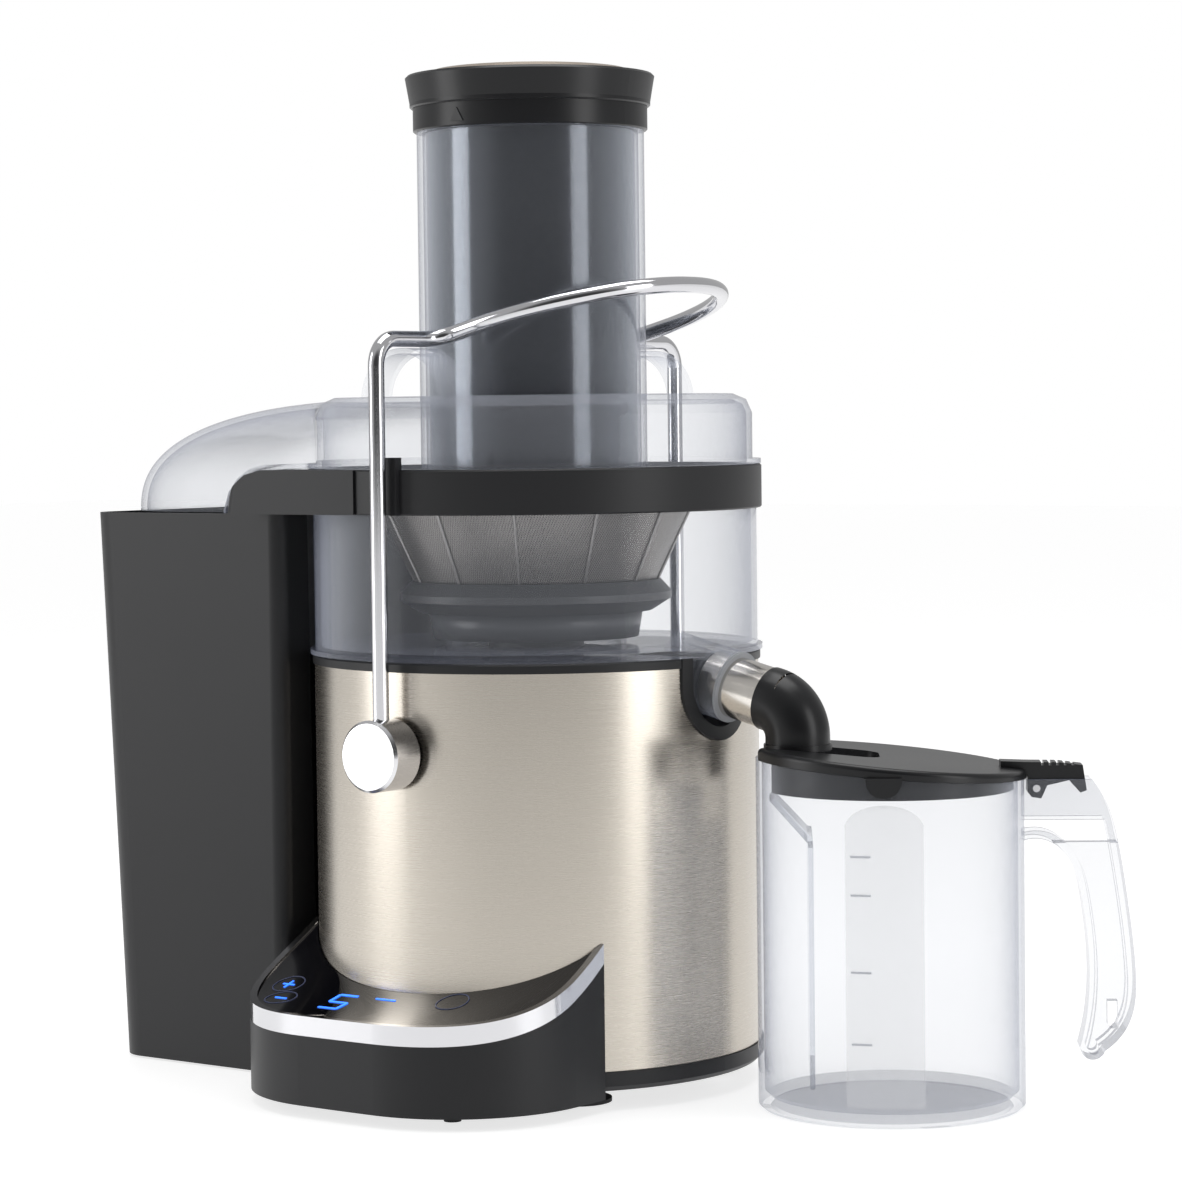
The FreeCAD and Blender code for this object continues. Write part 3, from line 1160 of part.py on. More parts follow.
for thing in doc.Objects:
    if "Invalid" in thing.State or "Error" in thing.State:
        raise RuntimeError("%s failed: %s" % (thing.Label, thing.State))
for made in nodes:
    if made.Shape.isNull() or not made.Shape.isValid() or not made.Shape.Solids:
        raise RuntimeError(made.Label + " has no valid solid")
whole = FreeCAD.BoundBox()
for made in nodes:
    whole.add(made.Shape.optimalBoundingBox(False, False))
home = V(-round(whole.Center.x, 3), -round(whole.Center.y, 3), -round(whole.ZMin, 3))
print("moved by", home.x, home.y, home.z, "box", whole.XLength, whole.YLength, whole.ZLength)
os.makedirs("parts", exist_ok=True)
for made in nodes:
    made.Shape.translated(home).exportStep("parts/%s.step" % made.Label)
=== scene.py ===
"""Looks for the centrifugal juicer: finishes for the solid parts, the clear hood, the basket's
ribs, the lit marks of the touch panel, the jug's scale, and a plain studio."""
import math

import bpy
import numpy as np
from mathutils import Matrix, Vector


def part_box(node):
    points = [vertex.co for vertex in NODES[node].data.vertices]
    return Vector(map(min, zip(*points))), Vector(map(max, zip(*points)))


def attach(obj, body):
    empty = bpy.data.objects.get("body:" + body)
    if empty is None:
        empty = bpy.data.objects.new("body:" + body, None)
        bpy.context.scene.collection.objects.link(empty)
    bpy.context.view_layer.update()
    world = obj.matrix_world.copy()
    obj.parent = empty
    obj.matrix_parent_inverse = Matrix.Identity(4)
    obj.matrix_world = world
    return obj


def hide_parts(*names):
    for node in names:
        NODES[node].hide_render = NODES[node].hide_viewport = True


bl_info = {
    "name": "Centrifugal Juicer",
    "version": (1, 0, 0),
    "blender": (4, 5, 0),
    "location": "View3D > Sidebar > Juicer",
    "description": "Builds the finishes and fine pieces of a centrifugal juicer",
    "category": "Object",
}

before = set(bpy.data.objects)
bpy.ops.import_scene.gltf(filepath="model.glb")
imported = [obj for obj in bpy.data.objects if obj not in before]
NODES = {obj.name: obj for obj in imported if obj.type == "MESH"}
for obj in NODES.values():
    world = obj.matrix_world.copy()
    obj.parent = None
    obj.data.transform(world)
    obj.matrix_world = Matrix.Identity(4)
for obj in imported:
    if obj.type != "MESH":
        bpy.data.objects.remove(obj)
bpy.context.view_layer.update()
SHAFT_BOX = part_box("motor_shaft")
# the motor axis on the table: the fine pieces and the camera are drawn about it
AXIS = np.array([(SHAFT_BOX[0][0] + SHAFT_BOX[1][0]) / 2, (SHAFT_BOX[0][1] + SHAFT_BOX[1][1]) / 2, 0.0])


# ------------------------------------------------------------------ shader expressions

class Wire:
    """A shader socket that can be used in Python sums."""

    def __init__(self, paint, socket):
        self.paint, self.socket = paint, socket

    def _math(self, operation, *values):
        return self.paint.node("ShaderNodeMath", {"operation": operation}, *values)

    def __add__(self, other):
        return self._math("ADD", self, other)

    def __sub__(self, other):
        return self._math("SUBTRACT", self, other)

    def __rsub__(self, other):
        return self._math("SUBTRACT", other, self)

    def __mul__(self, other):
        return self._math("MULTIPLY", self, other)

    def __pow__(self, other):
        return self._math("POWER", self, other)

    __radd__, __rmul__ = __add__, __mul__

    def wave(self):
        return self._math("SINE", self)

    def ramp(self, low, high, to_low=0.0, to_high=1.0):
        """This value carried from low..high to another range, held at its ends."""
        return self.paint.node("ShaderNodeMapRange", {"interpolation_type": "SMOOTHSTEP"},
                               self, low, high, to_low, to_high)


class Nodes:
    """A node tree that grows by one method."""

    def __init__(self, tree):
        self.tree = tree

    def node(self, kind, settings=None, *values, output=0, **named):
        """Add a node, its settings first, then its inputs in order or by name."""
        made = self.tree.nodes.new(kind)
        for key, value in (settings or {}).items():
            setattr(made, key, value)
        sockets = [s for s in made.inputs if s.enabled]
        for socket, value in zip(sockets, values):
            self.join(value, socket)
        for key, value in named.items():
            self.join(value, made.inputs[key.replace("_", " ")])
        outputs = [s for s in made.outputs if s.enabled]
        return Wire(self, made.outputs[output] if isinstance(output, str) else outputs[output])

    def join(self, value, socket):
        """Link a wire, or set a number or colour."""
        if isinstance(value, Wire):
            self.tree.links.new(value.socket, socket)
        elif value is not None:
            if hasattr(socket.default_value, "__len__") and len(socket.default_value) == 4:
                value = tuple(value) + (1.0,) if len(value) == 3 else value
            socket.default_value = value


class Paint(Nodes):
    """One material and the nodes that feed its main shader."""

    def __init__(self, name, **constants):
        self.material = bpy.data.materials.new(name)
        self.material.use_nodes = True
        super().__init__(self.material.node_tree)
        self.shader = self.tree.nodes["Principled BSDF"]
        for socket, value in constants.items():
            self.feed(socket.replace("_", " "), value)

    def feed(self, socket, value):
        """Give the main shader one input."""
        self.join(value, self.shader.inputs[socket])

    def place(self):
        """Object coordinates about the motor axis, as a vector and as its three numbers."""
        where = self.node("ShaderNodeTexCoord", output="Object")
        where = self.node("ShaderNodeVectorMath", {"operation": "SUBTRACT"}, where, tuple(AXIS))
        split = self.tree.nodes.new("ShaderNodeSeparateXYZ")
        self.tree.links.new(where.socket, split.inputs[0])
        return (where,) + tuple(Wire(self, s) for s in split.outputs)

    def vector(self, x, y, z):
        return self.node("ShaderNodeCombineXYZ", None, x, y, z)

    def noise(self, vector, scale, detail=3.0, rough=0.55):
        return self.node("ShaderNodeTexNoise", None, Vector=vector, Scale=scale, Detail=detail,
                         Roughness=rough)

    def mix(self, share, first, second):
        """Mix two colours by a share."""
        made = self.tree.nodes.new("ShaderNodeMix")
        made.data_type = "RGBA"
        for index, value in ((0, share), (6, first), (7, second)):
            self.join(value, made.inputs[index])
        return Wire(self, made.outputs[2])

    def bump(self, height, strength, distance):
        made = self.node("ShaderNodeBump", None, Strength=strength, Distance=distance, Height=height)
        self.feed("Normal", made)

    def facing(self, blend=0.5):
        """0 where the surface faces the eye and 1 at its edges."""
        return self.node("ShaderNodeLayerWeight", None, blend, output="Facing")


def coat(material, *names):
    """Give CAD parts a material."""
    for name in names:
        for slot in NODES[name].material_slots:
            slot.material = material


# ------------------------------------------------------------------ finishes

def brushed(name, light, dark, rough=0.3, lines=1500.0):
    """Brushed metal: fine lines round the piece, slow cloudy change of tone."""
    paint = Paint(name, Metallic=1.0)
    where, x, y, z = paint.place()
    angle = paint.node("ShaderNodeMath", {"operation": "ARCTAN2"}, y, x)
    grain = paint.noise(paint.vector(angle * 2.5, z * lines, 0.0), 1.0, 3.0, 0.6)
    cloud = paint.noise(where, 9.0, 2.0)
    paint.feed("Base Color", paint.mix(grain * 0.4 + cloud * 0.35, dark, light))
    paint.feed("Roughness", grain * 0.08 + (rough - 0.04))
    paint.bump(grain, 0.02, 0.00004)
    return paint.material


def polished(name, colour, rough):
    """Polished or plated metal with faint handling haze."""
    paint = Paint(name, Metallic=1.0)
    where, *_ = paint.place()
    haze = paint.noise(where, 34.0, 3.0)
    paint.feed("Base Color", paint.mix(haze, [c * 0.94 for c in colour], colour))
    paint.feed("Roughness", haze * 0.07 + rough)
    return paint.material


def moulded(name, colour, rough, grain=2600.0, depth=0.00003, coat_weight=0.0):
    """Moulded plastic with a fine spark-eroded grain and slight change of sheen."""
    paint = Paint(name, Coat_Weight=coat_weight, Coat_Roughness=0.12, Specular_IOR_Level=0.3)
    where, *_ = paint.place()
    fine = paint.noise(where, grain, 2.0)
    broad = paint.noise(where, 14.0, 3.0)
    dark, light = [c * 0.86 for c in colour], [c * 1.12 for c in colour]
    paint.feed("Base Color", paint.mix(broad, dark, light))
    paint.feed("Roughness", fine * 0.10 + broad * 0.06 + (rough - 0.08))
    paint.bump(fine, 0.25, depth)
    return paint.material


def clear(name, through, edge, low, high, power=3.0, rough=0.04):
    """Clear plastic: light passes nearly untouched face on, and the wall shows its own colour
    and gloss where it turns away."""
    paint = Paint(name, Roughness=rough)
    where, *_ = paint.place()
    flow = paint.noise(where, 22.0, 2.0)
    turn = paint.facing(0.5) ** power
    paint.feed("Base Color", paint.mix(turn, (0.72, 0.75, 0.82), edge))
    paint.bump(flow, 0.05, 0.0006)
    open_light = paint.node("ShaderNodeBsdfTransparent", None, through)
    share = turn * (high - low) + low + flow * 0.01
    mixed = paint.node("ShaderNodeMixShader", None, share, open_light,
                       Wire(paint, paint.shader.outputs[0]))
    paint.tree.links.new(mixed.socket, paint.tree.nodes["Material Output"].inputs["Surface"])
    return paint.material


def perforated(name):
    """Etched sieve metal: rows of small holes round the cone, each row set half a step on."""
    paint = Paint(name, Metallic=0.9)
    where, x, y, z = paint.place()
    angle = paint.node("ShaderNodeMath", {"operation": "ARCTAN2"}, y, x)
    row = (z * 4200.0).wave()
    column = (angle * 340.0 + z * 2100.0).wave()
    hole = (row * column).ramp(0.05, 0.55)
    grain = paint.noise(where, 60.0, 3.0)
    paint.feed("Base Color", paint.mix(hole * 0.6 + grain * 0.2, (0.30, 0.285, 0.27),
                                       (0.09, 0.085, 0.08)))
    paint.feed("Roughness", grain * 0.15 + 0.32)
    paint.feed("Alpha", 1.0 - hole * 0.5)
    return paint.material


def panel_glass(name):
    """Glossy black glass with a faint smoky bloom and fine dust."""
    paint = Paint(name, Coat_Weight=1.0, Coat_Roughness=0.02)
    where, *_ = paint.place()
    dust = paint.noise(where, 180.0, 4.0).ramp(0.62, 0.8)
    paint.feed("Base Color", paint.mix(dust * 0.4, (0.004, 0.004, 0.006), (0.03, 0.03, 0.035)))
    paint.feed("Roughness", dust * 0.15 + 0.06)
    return paint.material


def lit(name, colour, power):
    """Lit marks behind the glass, their brightness varied by a fine noise."""
    paint = Paint(name, Roughness=0.4, Emission_Strength=power)
    where, *_ = paint.place()
    glow = paint.noise(where, 900.0, 1.0)
    paint.feed("Base Color", colour)
    paint.feed("Emission Color", paint.mix(glow * 0.5, colour, [c * 0.6 for c in colour]))
    return paint.material


def frosted(name, colour, alpha):
    """Finely frosted plastic."""
    paint = Paint(name, Roughness=0.55)
    where, *_ = paint.place()
    speck = paint.noise(where, 1500.0, 2.0)
    paint.feed("Base Color", paint.mix(speck, colour, [c * 0.93 for c in colour]))
    paint.feed("Alpha", speck * 0.08 + alpha)
    paint.bump(speck, 0.2, 0.00004)
    return paint.material


# ------------------------------------------------------------------ surfaces

def grid_piece(name, points, material, body, close_u=False, close_v=False, smooth=True):
    """A mesh from an (n, m, 3) grid of points: quads between neighbours, wrapped where closed."""
    n, m = points.shape[:2]
    rows = np.arange(n if close_u else n - 1)
    cols = np.arange(m if close_v else m - 1)
    i, j = np.meshgrid(rows, cols, indexing="ij")
    i, j = i.ravel(), j.ravel()
    k, l = (i + 1) % n, (j + 1) % m
    faces = np.stack([i * m + j, k * m + j, k * m + l, i * m + l], 1)
    return piece(name, points.reshape(-1, 3), faces, material, body, smooth)


def piece(name, points, faces, material, body, smooth=True):
    """A finished piece from points and faces, riding on a CAD body."""
    mesh = bpy.data.meshes.new(name)
    mesh.from_pydata(np.asarray(points).tolist(), [], np.asarray(faces).tolist())
    mesh.validate()
    mesh.update()
    made = bpy.data.objects.new(name, mesh)
    bpy.context.scene.collection.objects.link(made)
    mesh.materials.append(material)
    mesh.shade_smooth() if smooth else mesh.shade_flat()
    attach(made, body)
    return made


def rod_points(path, radius, sides=12):
    """A tube of points round a path: each ring lies square to the path's direction."""
    path = np.asarray(path, float)
    along = np.gradient(path, axis=0)
    along /= np.linalg.norm(along, axis=1)[:, None]
    side = np.cross(along, [0.13, 0.21, 0.97])
    side /= np.linalg.norm(side, axis=1)[:, None]
    up = np.cross(along, side)
    turn = np.linspace(0, 2 * np.pi, sides, endpoint=False)
    radius = np.broadcast_to(np.asarray(radius, float), (len(path),))[:, None, None]
    ring = np.cos(turn)[None, :, None] * side[:, None] + np.sin(turn)[None, :, None] * up[:, None]
    return path[:, None] + radius * ring


def bars(corners, depth):
    """Flat bars: each row of corners is four points; the bar is that quad thickened by depth."""
    quads = np.asarray(corners, float)
    normal = np.cross(quads[:, 1] - quads[:, 0], quads[:, 3] - quads[:, 0])
    normal /= np.linalg.norm(normal, axis=1)[:, None]
    points = np.concatenate([quads, quads + normal[:, None] * depth], 1)
    base = np.array([[3, 2, 1, 0], [4, 5, 6, 7], [0, 1, 5, 4], [1, 2, 6, 5], [2, 3, 7, 6],
                     [3, 0, 4, 7]])
    faces = (np.arange(len(quads))[:, None, None] * 8 + base[None]).reshape(-1, 4)
    return points.reshape(-1, 3), faces


def node_box(name):
    low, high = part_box(name)
    return np.array(low), np.array(high)


# ------------------------------------------------------------------ sizes and colours

class JuicerFinish(bpy.types.PropertyGroup):
    """Colours and small sizes a user may change."""
    steel_light: bpy.props.FloatVectorProperty(
        name="Steel, light", description="Light tone of the brushed body", subtype="COLOR",
        default=(0.62, 0.575, 0.51), min=0, max=1)
    steel_dark: bpy.props.FloatVectorProperty(
        name="Steel, dark", description="Dark tone of the brushed body", subtype="COLOR",
        default=(0.45, 0.415, 0.365), min=0, max=1)
    black: bpy.props.FloatVectorProperty(
        name="Black plastic", description="Colour of the satin black mouldings", subtype="COLOR",
        default=(0.012, 0.0122, 0.0135), min=0, max=1)
    clear_tint: bpy.props.FloatVectorProperty(
        name="Clear plastic", description="Face-on tint of the clear mouldings", subtype="COLOR",
        default=(0.984, 0.986, 0.991), min=0, max=1)
    clear_edge: bpy.props.FloatVectorProperty(
        name="Clear plastic edge", description="Tint where a clear wall turns away",
        subtype="COLOR", default=(0.17, 0.19, 0.29), min=0, max=1)
    smoke: bpy.props.FloatVectorProperty(
        name="Smoked plastic", description="Colour of the pusher", subtype="COLOR",
        default=(0.018, 0.021, 0.027), min=0, max=1)
    smoke_edge: bpy.props.FloatVectorProperty(
        name="Smoked plastic edge", description="Colour of the pusher where it turns away",
        subtype="COLOR", default=(0.56, 0.61, 0.68), min=0, max=1)
    display: bpy.props.FloatVectorProperty(
        name="Display light", description="Colour of the lit marks", subtype="COLOR",
        default=(0.03, 0.16, 0.9), min=0, max=1)
    hood_wall: bpy.props.FloatProperty(
        name="Hood wall", description="Thickness of the pulp hood", default=0.0022,
        min=0.001, max=0.004, subtype="DISTANCE", unit="LENGTH")
    rib_count: bpy.props.IntProperty(
        name="Basket ribs", description="Ribs round the basket", default=12, min=4, max=36)
    mark_lift: bpy.props.FloatProperty(
        name="Mark height", description="How far the lit marks stand over the glass",
        default=0.00012, min=0.00005, max=0.0005, subtype="DISTANCE", unit="LENGTH")


class JuicerStudio(bpy.types.PropertyGroup):
    """Camera and light."""
    azimuth: bpy.props.FloatProperty(
        name="Azimuth", description="Camera angle round the machine", default=math.radians(37.5),
        subtype="ANGLE", unit="ROTATION")
    distance: bpy.props.FloatProperty(
        name="Distance", description="Camera distance from the motor axis", default=1.535,
        subtype="DISTANCE", unit="LENGTH")
    height: bpy.props.FloatProperty(
        name="Height", description="Camera height over the table", default=0.278,
        subtype="DISTANCE", unit="LENGTH")
    lens: bpy.props.FloatProperty(name="Lens", description="Focal length in millimetres",
                                  default=111.26)
    key_power: bpy.props.FloatProperty(
        name="Key light", description="Power of the main soft light", default=11.0, min=0)
    floor_glow: bpy.props.FloatProperty(
        name="Floor glow", description="Light the floor gives by itself", default=0.74, min=0)
    dark_side: bpy.props.FloatProperty(
        name="Dark side", description="Share of the surround's light behind the camera",
        default=0.12, min=0, max=1)
    sky: bpy.props.FloatProperty(
        name="Surround", description="Brightness of the white surround", default=0.5, min=0)


# ------------------------------------------------------------------ operators

class JUICER_OT_metals(bpy.types.Operator):
    """Brushed body, plated arm, knobs and trim, sieve and motor metals"""
    bl_idname = "juicer.metals"
    bl_label = "Metal finishes"

    def execute(self, context):
        own = context.scene.juicer_finish
        coat(brushed("body_steel", own.steel_light, own.steel_dark, 0.27), "body_skin")
        plate = polished("arm_plating", (0.66, 0.66, 0.68), 0.06)
        coat(plate, "locking_arm", "panel_trim")
        coat(brushed("knob_steel", (0.82, 0.82, 0.83), (0.66, 0.66, 0.68), 0.2, 2600.0),
             "arm_knob_front", "arm_knob_rear")
        coat(brushed("pipe_steel", (0.80, 0.77, 0.72), (0.62, 0.59, 0.55), 0.16, 900.0),
             "outlet_pipe")
        coat(brushed("disc_metal", (0.56, 0.48, 0.40), (0.44, 0.37, 0.30), 0.3, 2000.0),
             "pusher_disc")
        coat(perforated("sieve_metal"), "basket_mesh")
        sheet = polished("pressed_steel", (0.62, 0.62, 0.64), 0.2)
        coat(sheet, "basket_rim", "grater_disc", "grater_teeth", "motor_shaft", "motor_stator",
             "bearing_lower", "bearing_upper", "motor_bracket_lower", "motor_bracket_upper",
             "motor_pillars", "base_screws", "cover_hinge_pin", "pivot_pin_front",
             "pivot_pin_rear")
        coat(polished("copper", (0.62, 0.30, 0.16), 0.3), "rotor_core", "commutator")
        return {"FINISHED"}


class JUICER_OT_plastics(bpy.types.Operator):
    """Satin black, rubber and grey mouldings, and the glossy panel"""
    bl_idname = "juicer.plastics"
    bl_label = "Plastic finishes"

    def execute(self, context):
        own = context.scene.juicer_finish
        black = list(own.black)
        satin = moulded("satin_black", black, 0.42)
        coat(satin, "pulp_container", "bowl_band", "base_plate", "panel_housing", "trim_ring",
             "outlet_surround", "pivot_washer_front", "pivot_washer_rear")
        smooth = moulded("smooth_black", [c * 0.8 for c in black], 0.3, 1800.0, 0.00001)
        coat(smooth, "pusher_cap", "pusher_collar", "outlet_elbow", "jug_cover")
        grey = moulded("dark_grey", (0.055, 0.057, 0.062), 0.36)
        coat(grey, "basket_hub", "drive_coupling", "cooling_fan", "inner_tub")
        coat(moulded("rubber", (0.018, 0.018, 0.019), 0.7, 900.0, 0.00008),
             "suction_foot_1", "suction_foot_2", "suction_foot_3", "panel_pegs", "cord_gland")
        coat(moulded("seal_grey", (0.30, 0.31, 0.33), 0.55), "lid_seal", "outlet_seal")
        coat(moulded("board", (0.02, 0.12, 0.05), 0.4), "control_board")
        coat(panel_glass("panel_glass"), "touch_glass")
        return {"FINISHED"}


class JUICER_OT_clears(bpy.types.Operator):
    """Clear bowl, lid, chute and jug, and the smoked pusher"""
    bl_idname = "juicer.clears"
    bl_label = "Clear mouldings"

    def execute(self, context):
        own = context.scene.juicer_finish
        tint, edge = list(own.clear_tint), list(own.clear_edge)
        coat(clear("bowl_clear", tint, edge, 0.04, 0.85, 3.0), "filter_bowl")
        coat(clear("lid_clear", tint, edge, 0.045, 0.8, 3.0), "juicer_lid", "lid_ear_front",
             "lid_ear_rear")
        coat(clear("chute_clear", tint, edge, 0.03, 0.85, 3.6), "feed_chute")
        coat(clear("jug_clear", [c * 0.975 for c in tint], edge, 0.025, 0.95, 3.4), "jug_cup")
        coat(clear("handle_clear", [c * 0.96 for c in tint], edge, 0.06, 0.9, 2.2), "jug_handle")
        coat(clear("plate_clear", (0.9, 0.91, 0.93), edge, 0.06, 0.8, 2.8), "froth_separator")
        smoke = Paint("smoked_clear", Metallic=0.75, Coat_Weight=0.6, Coat_Roughness=0.05)
        where, *_ = smoke.place()
        cloud = smoke.noise(where, 6.0, 2.0)
        dark = list(own.smoke)
        turn = smoke.facing(0.5) ** 1.3
        smoke.feed("Base Color", smoke.mix(turn * 0.9 + cloud * 0.06, dark, list(own.smoke_edge)))
        smoke.feed("Roughness", cloud * 0.06 + 0.12)
        coat(smoke.material, "pusher_tube")
        return {"FINISHED"}


class JUICER_OT_hood(bpy.types.Operator):
    """The clear hood over the pulp container, one rounded shell"""
    bl_idname = "juicer.hood"
    bl_label = "Pulp hood"

    def execute(self, context):
        own = context.scene.juicer_finish
        low, high = node_box("pulp_hood")
        low, high = low - AXIS, high - AXIS
        start, half, lid_edge, foot = -0.050, 0.0688, 0.0918, low[2]
        reach, rise = start - low[0] - 0.0003, high[2] - foot - 0.0004
        share = np.linspace(0, 1, 61)[None]

        # a rounded box outside the lid's edge: with section = cos(across)^(2/5),
        # y = half * sin(across)^(2/5), x = start - reach * section * sin(along)^(2/2.4),
        # z = foot + rise * section * cos(along)^(2/2.4); the outer rows drop straight down
        def surface(inset):
            across = np.linspace(-1, 1, 81)[:, None] * math.radians(88.6)
            section = np.cos(across) ** 0.4
            y = (half - inset) * np.sign(across) * np.abs(np.sin(across)) ** 0.4
            near = start + np.sqrt(lid_edge ** 2 - y ** 2)
            first = np.arcsin(np.clip(near / ((reach - inset) * section), 0, 1) ** 1.2)
            along = first + (np.pi / 2 - first) * share
            x = start - (reach - inset) * section * np.sin(along) ** (1 / 1.2)
            z = foot + (rise - inset) * section * np.clip(np.cos(along), 0, 1) ** (1 / 1.2)
            sheet = np.stack([x, y + 0 * share, z], -1)
            skirt = sheet[[0, -1]] * [1, 1, 0] + [0, 0, foot]
            return np.concatenate([skirt[:1], sheet, skirt[1:]]) + AXIS

        loop = np.concatenate([surface(0.0), surface(own.hood_wall)[:, ::-1]], 1)
        material = clear("hood_clear", list(own.clear_tint), list(own.clear_edge), 0.05, 0.8, 3.0)
        hood = grid_piece("pulp_hood_shell", loop, material, "base", close_v=True)
        # the two flanges lie on the cheeks: a strip 2 mm thick along the cheek's outline
        line = np.array([[-30, 257.1], [-60, 257.1], [-70, 256.9], [-78, 255.3], [-84.5, 251.6],
                         [-89, 246.4], [-91.2, 240.6], [-91.6, 238.5]]) / 1000
        step = np.linspace(0, len(line) - 1, 40)
        curve = np.stack([np.interp(step, np.arange(len(line)), line[:, k]) for k in (0, 1)], -1)
        normal = np.stack([np.gradient(curve[:, 1]), -np.gradient(curve[:, 0])], -1)
        normal /= np.linalg.norm(normal, axis=1)[:, None]
        lifted = curve + normal * 0.002
        inner_y = np.clip(np.sqrt(0.0955 ** 2 - curve[:, 0] ** 2), 0.0665, 0.089)
        outer_y = inner_y * 0 + 0.0905
        for side, name in ((-1, "front"), (1, "rear")):
            edges = ((curve, inner_y), (curve, outer_y), (lifted, outer_y), (lifted, inner_y))
            rows = [np.stack([flat[:, 0], side * y, flat[:, 1]], -1) for flat, y in edges]
            strip = np.stack(rows if side > 0 else rows[::-1], 1) + AXIS
            flange = grid_piece("hood_flange_" + name, strip, material, "base", close_v=True)
        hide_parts("pulp_hood")
        return {"FINISHED"}


class JUICER_OT_basket(bpy.types.Operator):
    """Ribs up the sieve and the drum under its hub"""
    bl_idname = "juicer.basket"
    bl_label = "Basket ribs"

    def execute(self, context):
        count = context.scene.juicer_finish.rib_count
        low, high = node_box("basket_mesh")
        # each rib is a slim rod up the cone: its radius grows in step with height
        t = np.linspace(0, 1, 8)
        points, faces, base = [], [], 0
        for k in range(count):
            angle = 2 * np.pi * k / count
            radius = 0.0516 + (high[0] - AXIS[0] - 0.0513) * t
            path = np.stack([radius * np.cos(angle), radius * np.sin(angle),
                             low[2] + (high[2] - low[2]) * t], -1) + AXIS
            tube = rod_points(path, 0.0006, 8)
            n, m = tube.shape[:2]
            i, j = np.meshgrid(np.arange(n - 1), np.arange(m), indexing="ij")
            k_next, j_next = (i + 1) * m, (j + 1) % m
            quad = np.stack([i * m + j, k_next + j, k_next + j_next, i * m + j_next], -1)
            points.append(tube.reshape(-1, 3))
            faces.append(quad.reshape(-1, 4) + base)
            base += n * m
        ribs = piece("basket_ribs", np.concatenate(points), np.concatenate(faces),
                     polished("rib_steel", (0.34, 0.33, 0.32), 0.3), "basket")
        # a short drum under the hub: (radius, height) turned about the motor axis
        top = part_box("basket_hub")[0][2] + 0.0005
        foot = top - 0.0115
        side = np.array([[0.0405, top], [0.0405, foot], [0.0430, foot], [0.0450, top]])
        turn = np.linspace(0, 2 * np.pi, 72, endpoint=False)[:, None]
        points = np.stack([side[:, 0] * np.cos(turn), side[:, 0] * np.sin(turn),
                           side[:, 1] + 0 * turn], -1) + AXIS
        drum = grid_piece("basket_drum", points, moulded("drum_grey", (0.10, 0.105, 0.115), 0.3),
                          "basket", close_u=True, close_v=True)
        return {"FINISHED"}


class JUICER_OT_marks(bpy.types.Operator):
    """Lit digit and touch marks on the panel glass"""
    bl_idname = "juicer.marks"
    bl_label = "Panel marks"

    def execute(self, context):
        own = context.scene.juicer_finish
        lift = own.mark_lift
        # height of the glass at its lowest line, the place of that line, and the dish's radius
        level, lowest, bend = 0.0402, -0.133, 0.122

        def on_glass(x, y):
            """A point on the dished glass: a circle of radius bend, lowest at its front edge."""
            z = level + bend - np.sqrt(bend ** 2 - (y - lowest) ** 2) + lift
            return np.stack([x, y, z], -1) + AXIS

        def bar(x0, y0, x1, y1, width):
            start, end = np.array([x0, y0]), np.array([x1, y1])
            run = (end - start) / np.linalg.norm(end - start)
            side = np.array([-run[1], run[0]]) * width / 2
            flat = np.array([start - side, end - side, end + side, start + side])
            return on_glass(flat[:, 0], flat[:, 1])

        mm = 0.001
        cx, cy, half, tall, wide = -20 * mm, -108 * mm, 4.6 * mm, 7 * mm, 1.2 * mm
        quads = [bar(cx - half, cy + tall, cx + half, cy + tall, wide),
                 bar(cx - half, cy + tall, cx - half, cy, wide),
                 bar(cx - half, cy, cx + half, cy, wide),
                 bar(cx + half, cy, cx + half, cy - tall, wide),
                 bar(cx - half, cy - tall, cx + half, cy - tall, wide),
                 bar(-6 * mm, -101 * mm, 4 * mm, -101 * mm, 0.9 * mm),
                 bar(-59 * mm, -97 * mm, -53 * mm, -97 * mm, 0.8 * mm),
                 bar(-56 * mm, -94 * mm, -56 * mm, -100 * mm, 0.8 * mm),
                 bar(-52 * mm, -110 * mm, -46 * mm, -110 * mm, 0.8 * mm)]
        points, faces = bars(quads, 0.00015)
        digits = piece("panel_marks", points, faces, lit("mark_light", list(own.display), 2.6), "base",
                       smooth=False)
        turn = np.linspace(0, 2 * np.pi, 48, endpoint=False)
        touch_spots = ((-56 * mm, -97 * mm), (-49 * mm, -110 * mm), (30 * mm, -97 * mm))
        for k, (x, y) in enumerate(touch_spots):
            rings = []
            for radius in (6.4 * mm, 6.9 * mm):
                rings.append(on_glass(x + radius * np.cos(turn), y + radius * np.sin(turn)))
            raised = [edge + [0, 0, lift] for edge in rings]
            loop = np.stack([rings[0], rings[1], raised[1], raised[0]], 1)
            glow = lit("ring_light_%d" % k, (0.05, 0.06, 0.12), 0.25)
            mark = grid_piece("touch_ring_%d" % (k + 1), loop, glow, "base", close_u=True,
                              close_v=True)
        return {"FINISHED"}


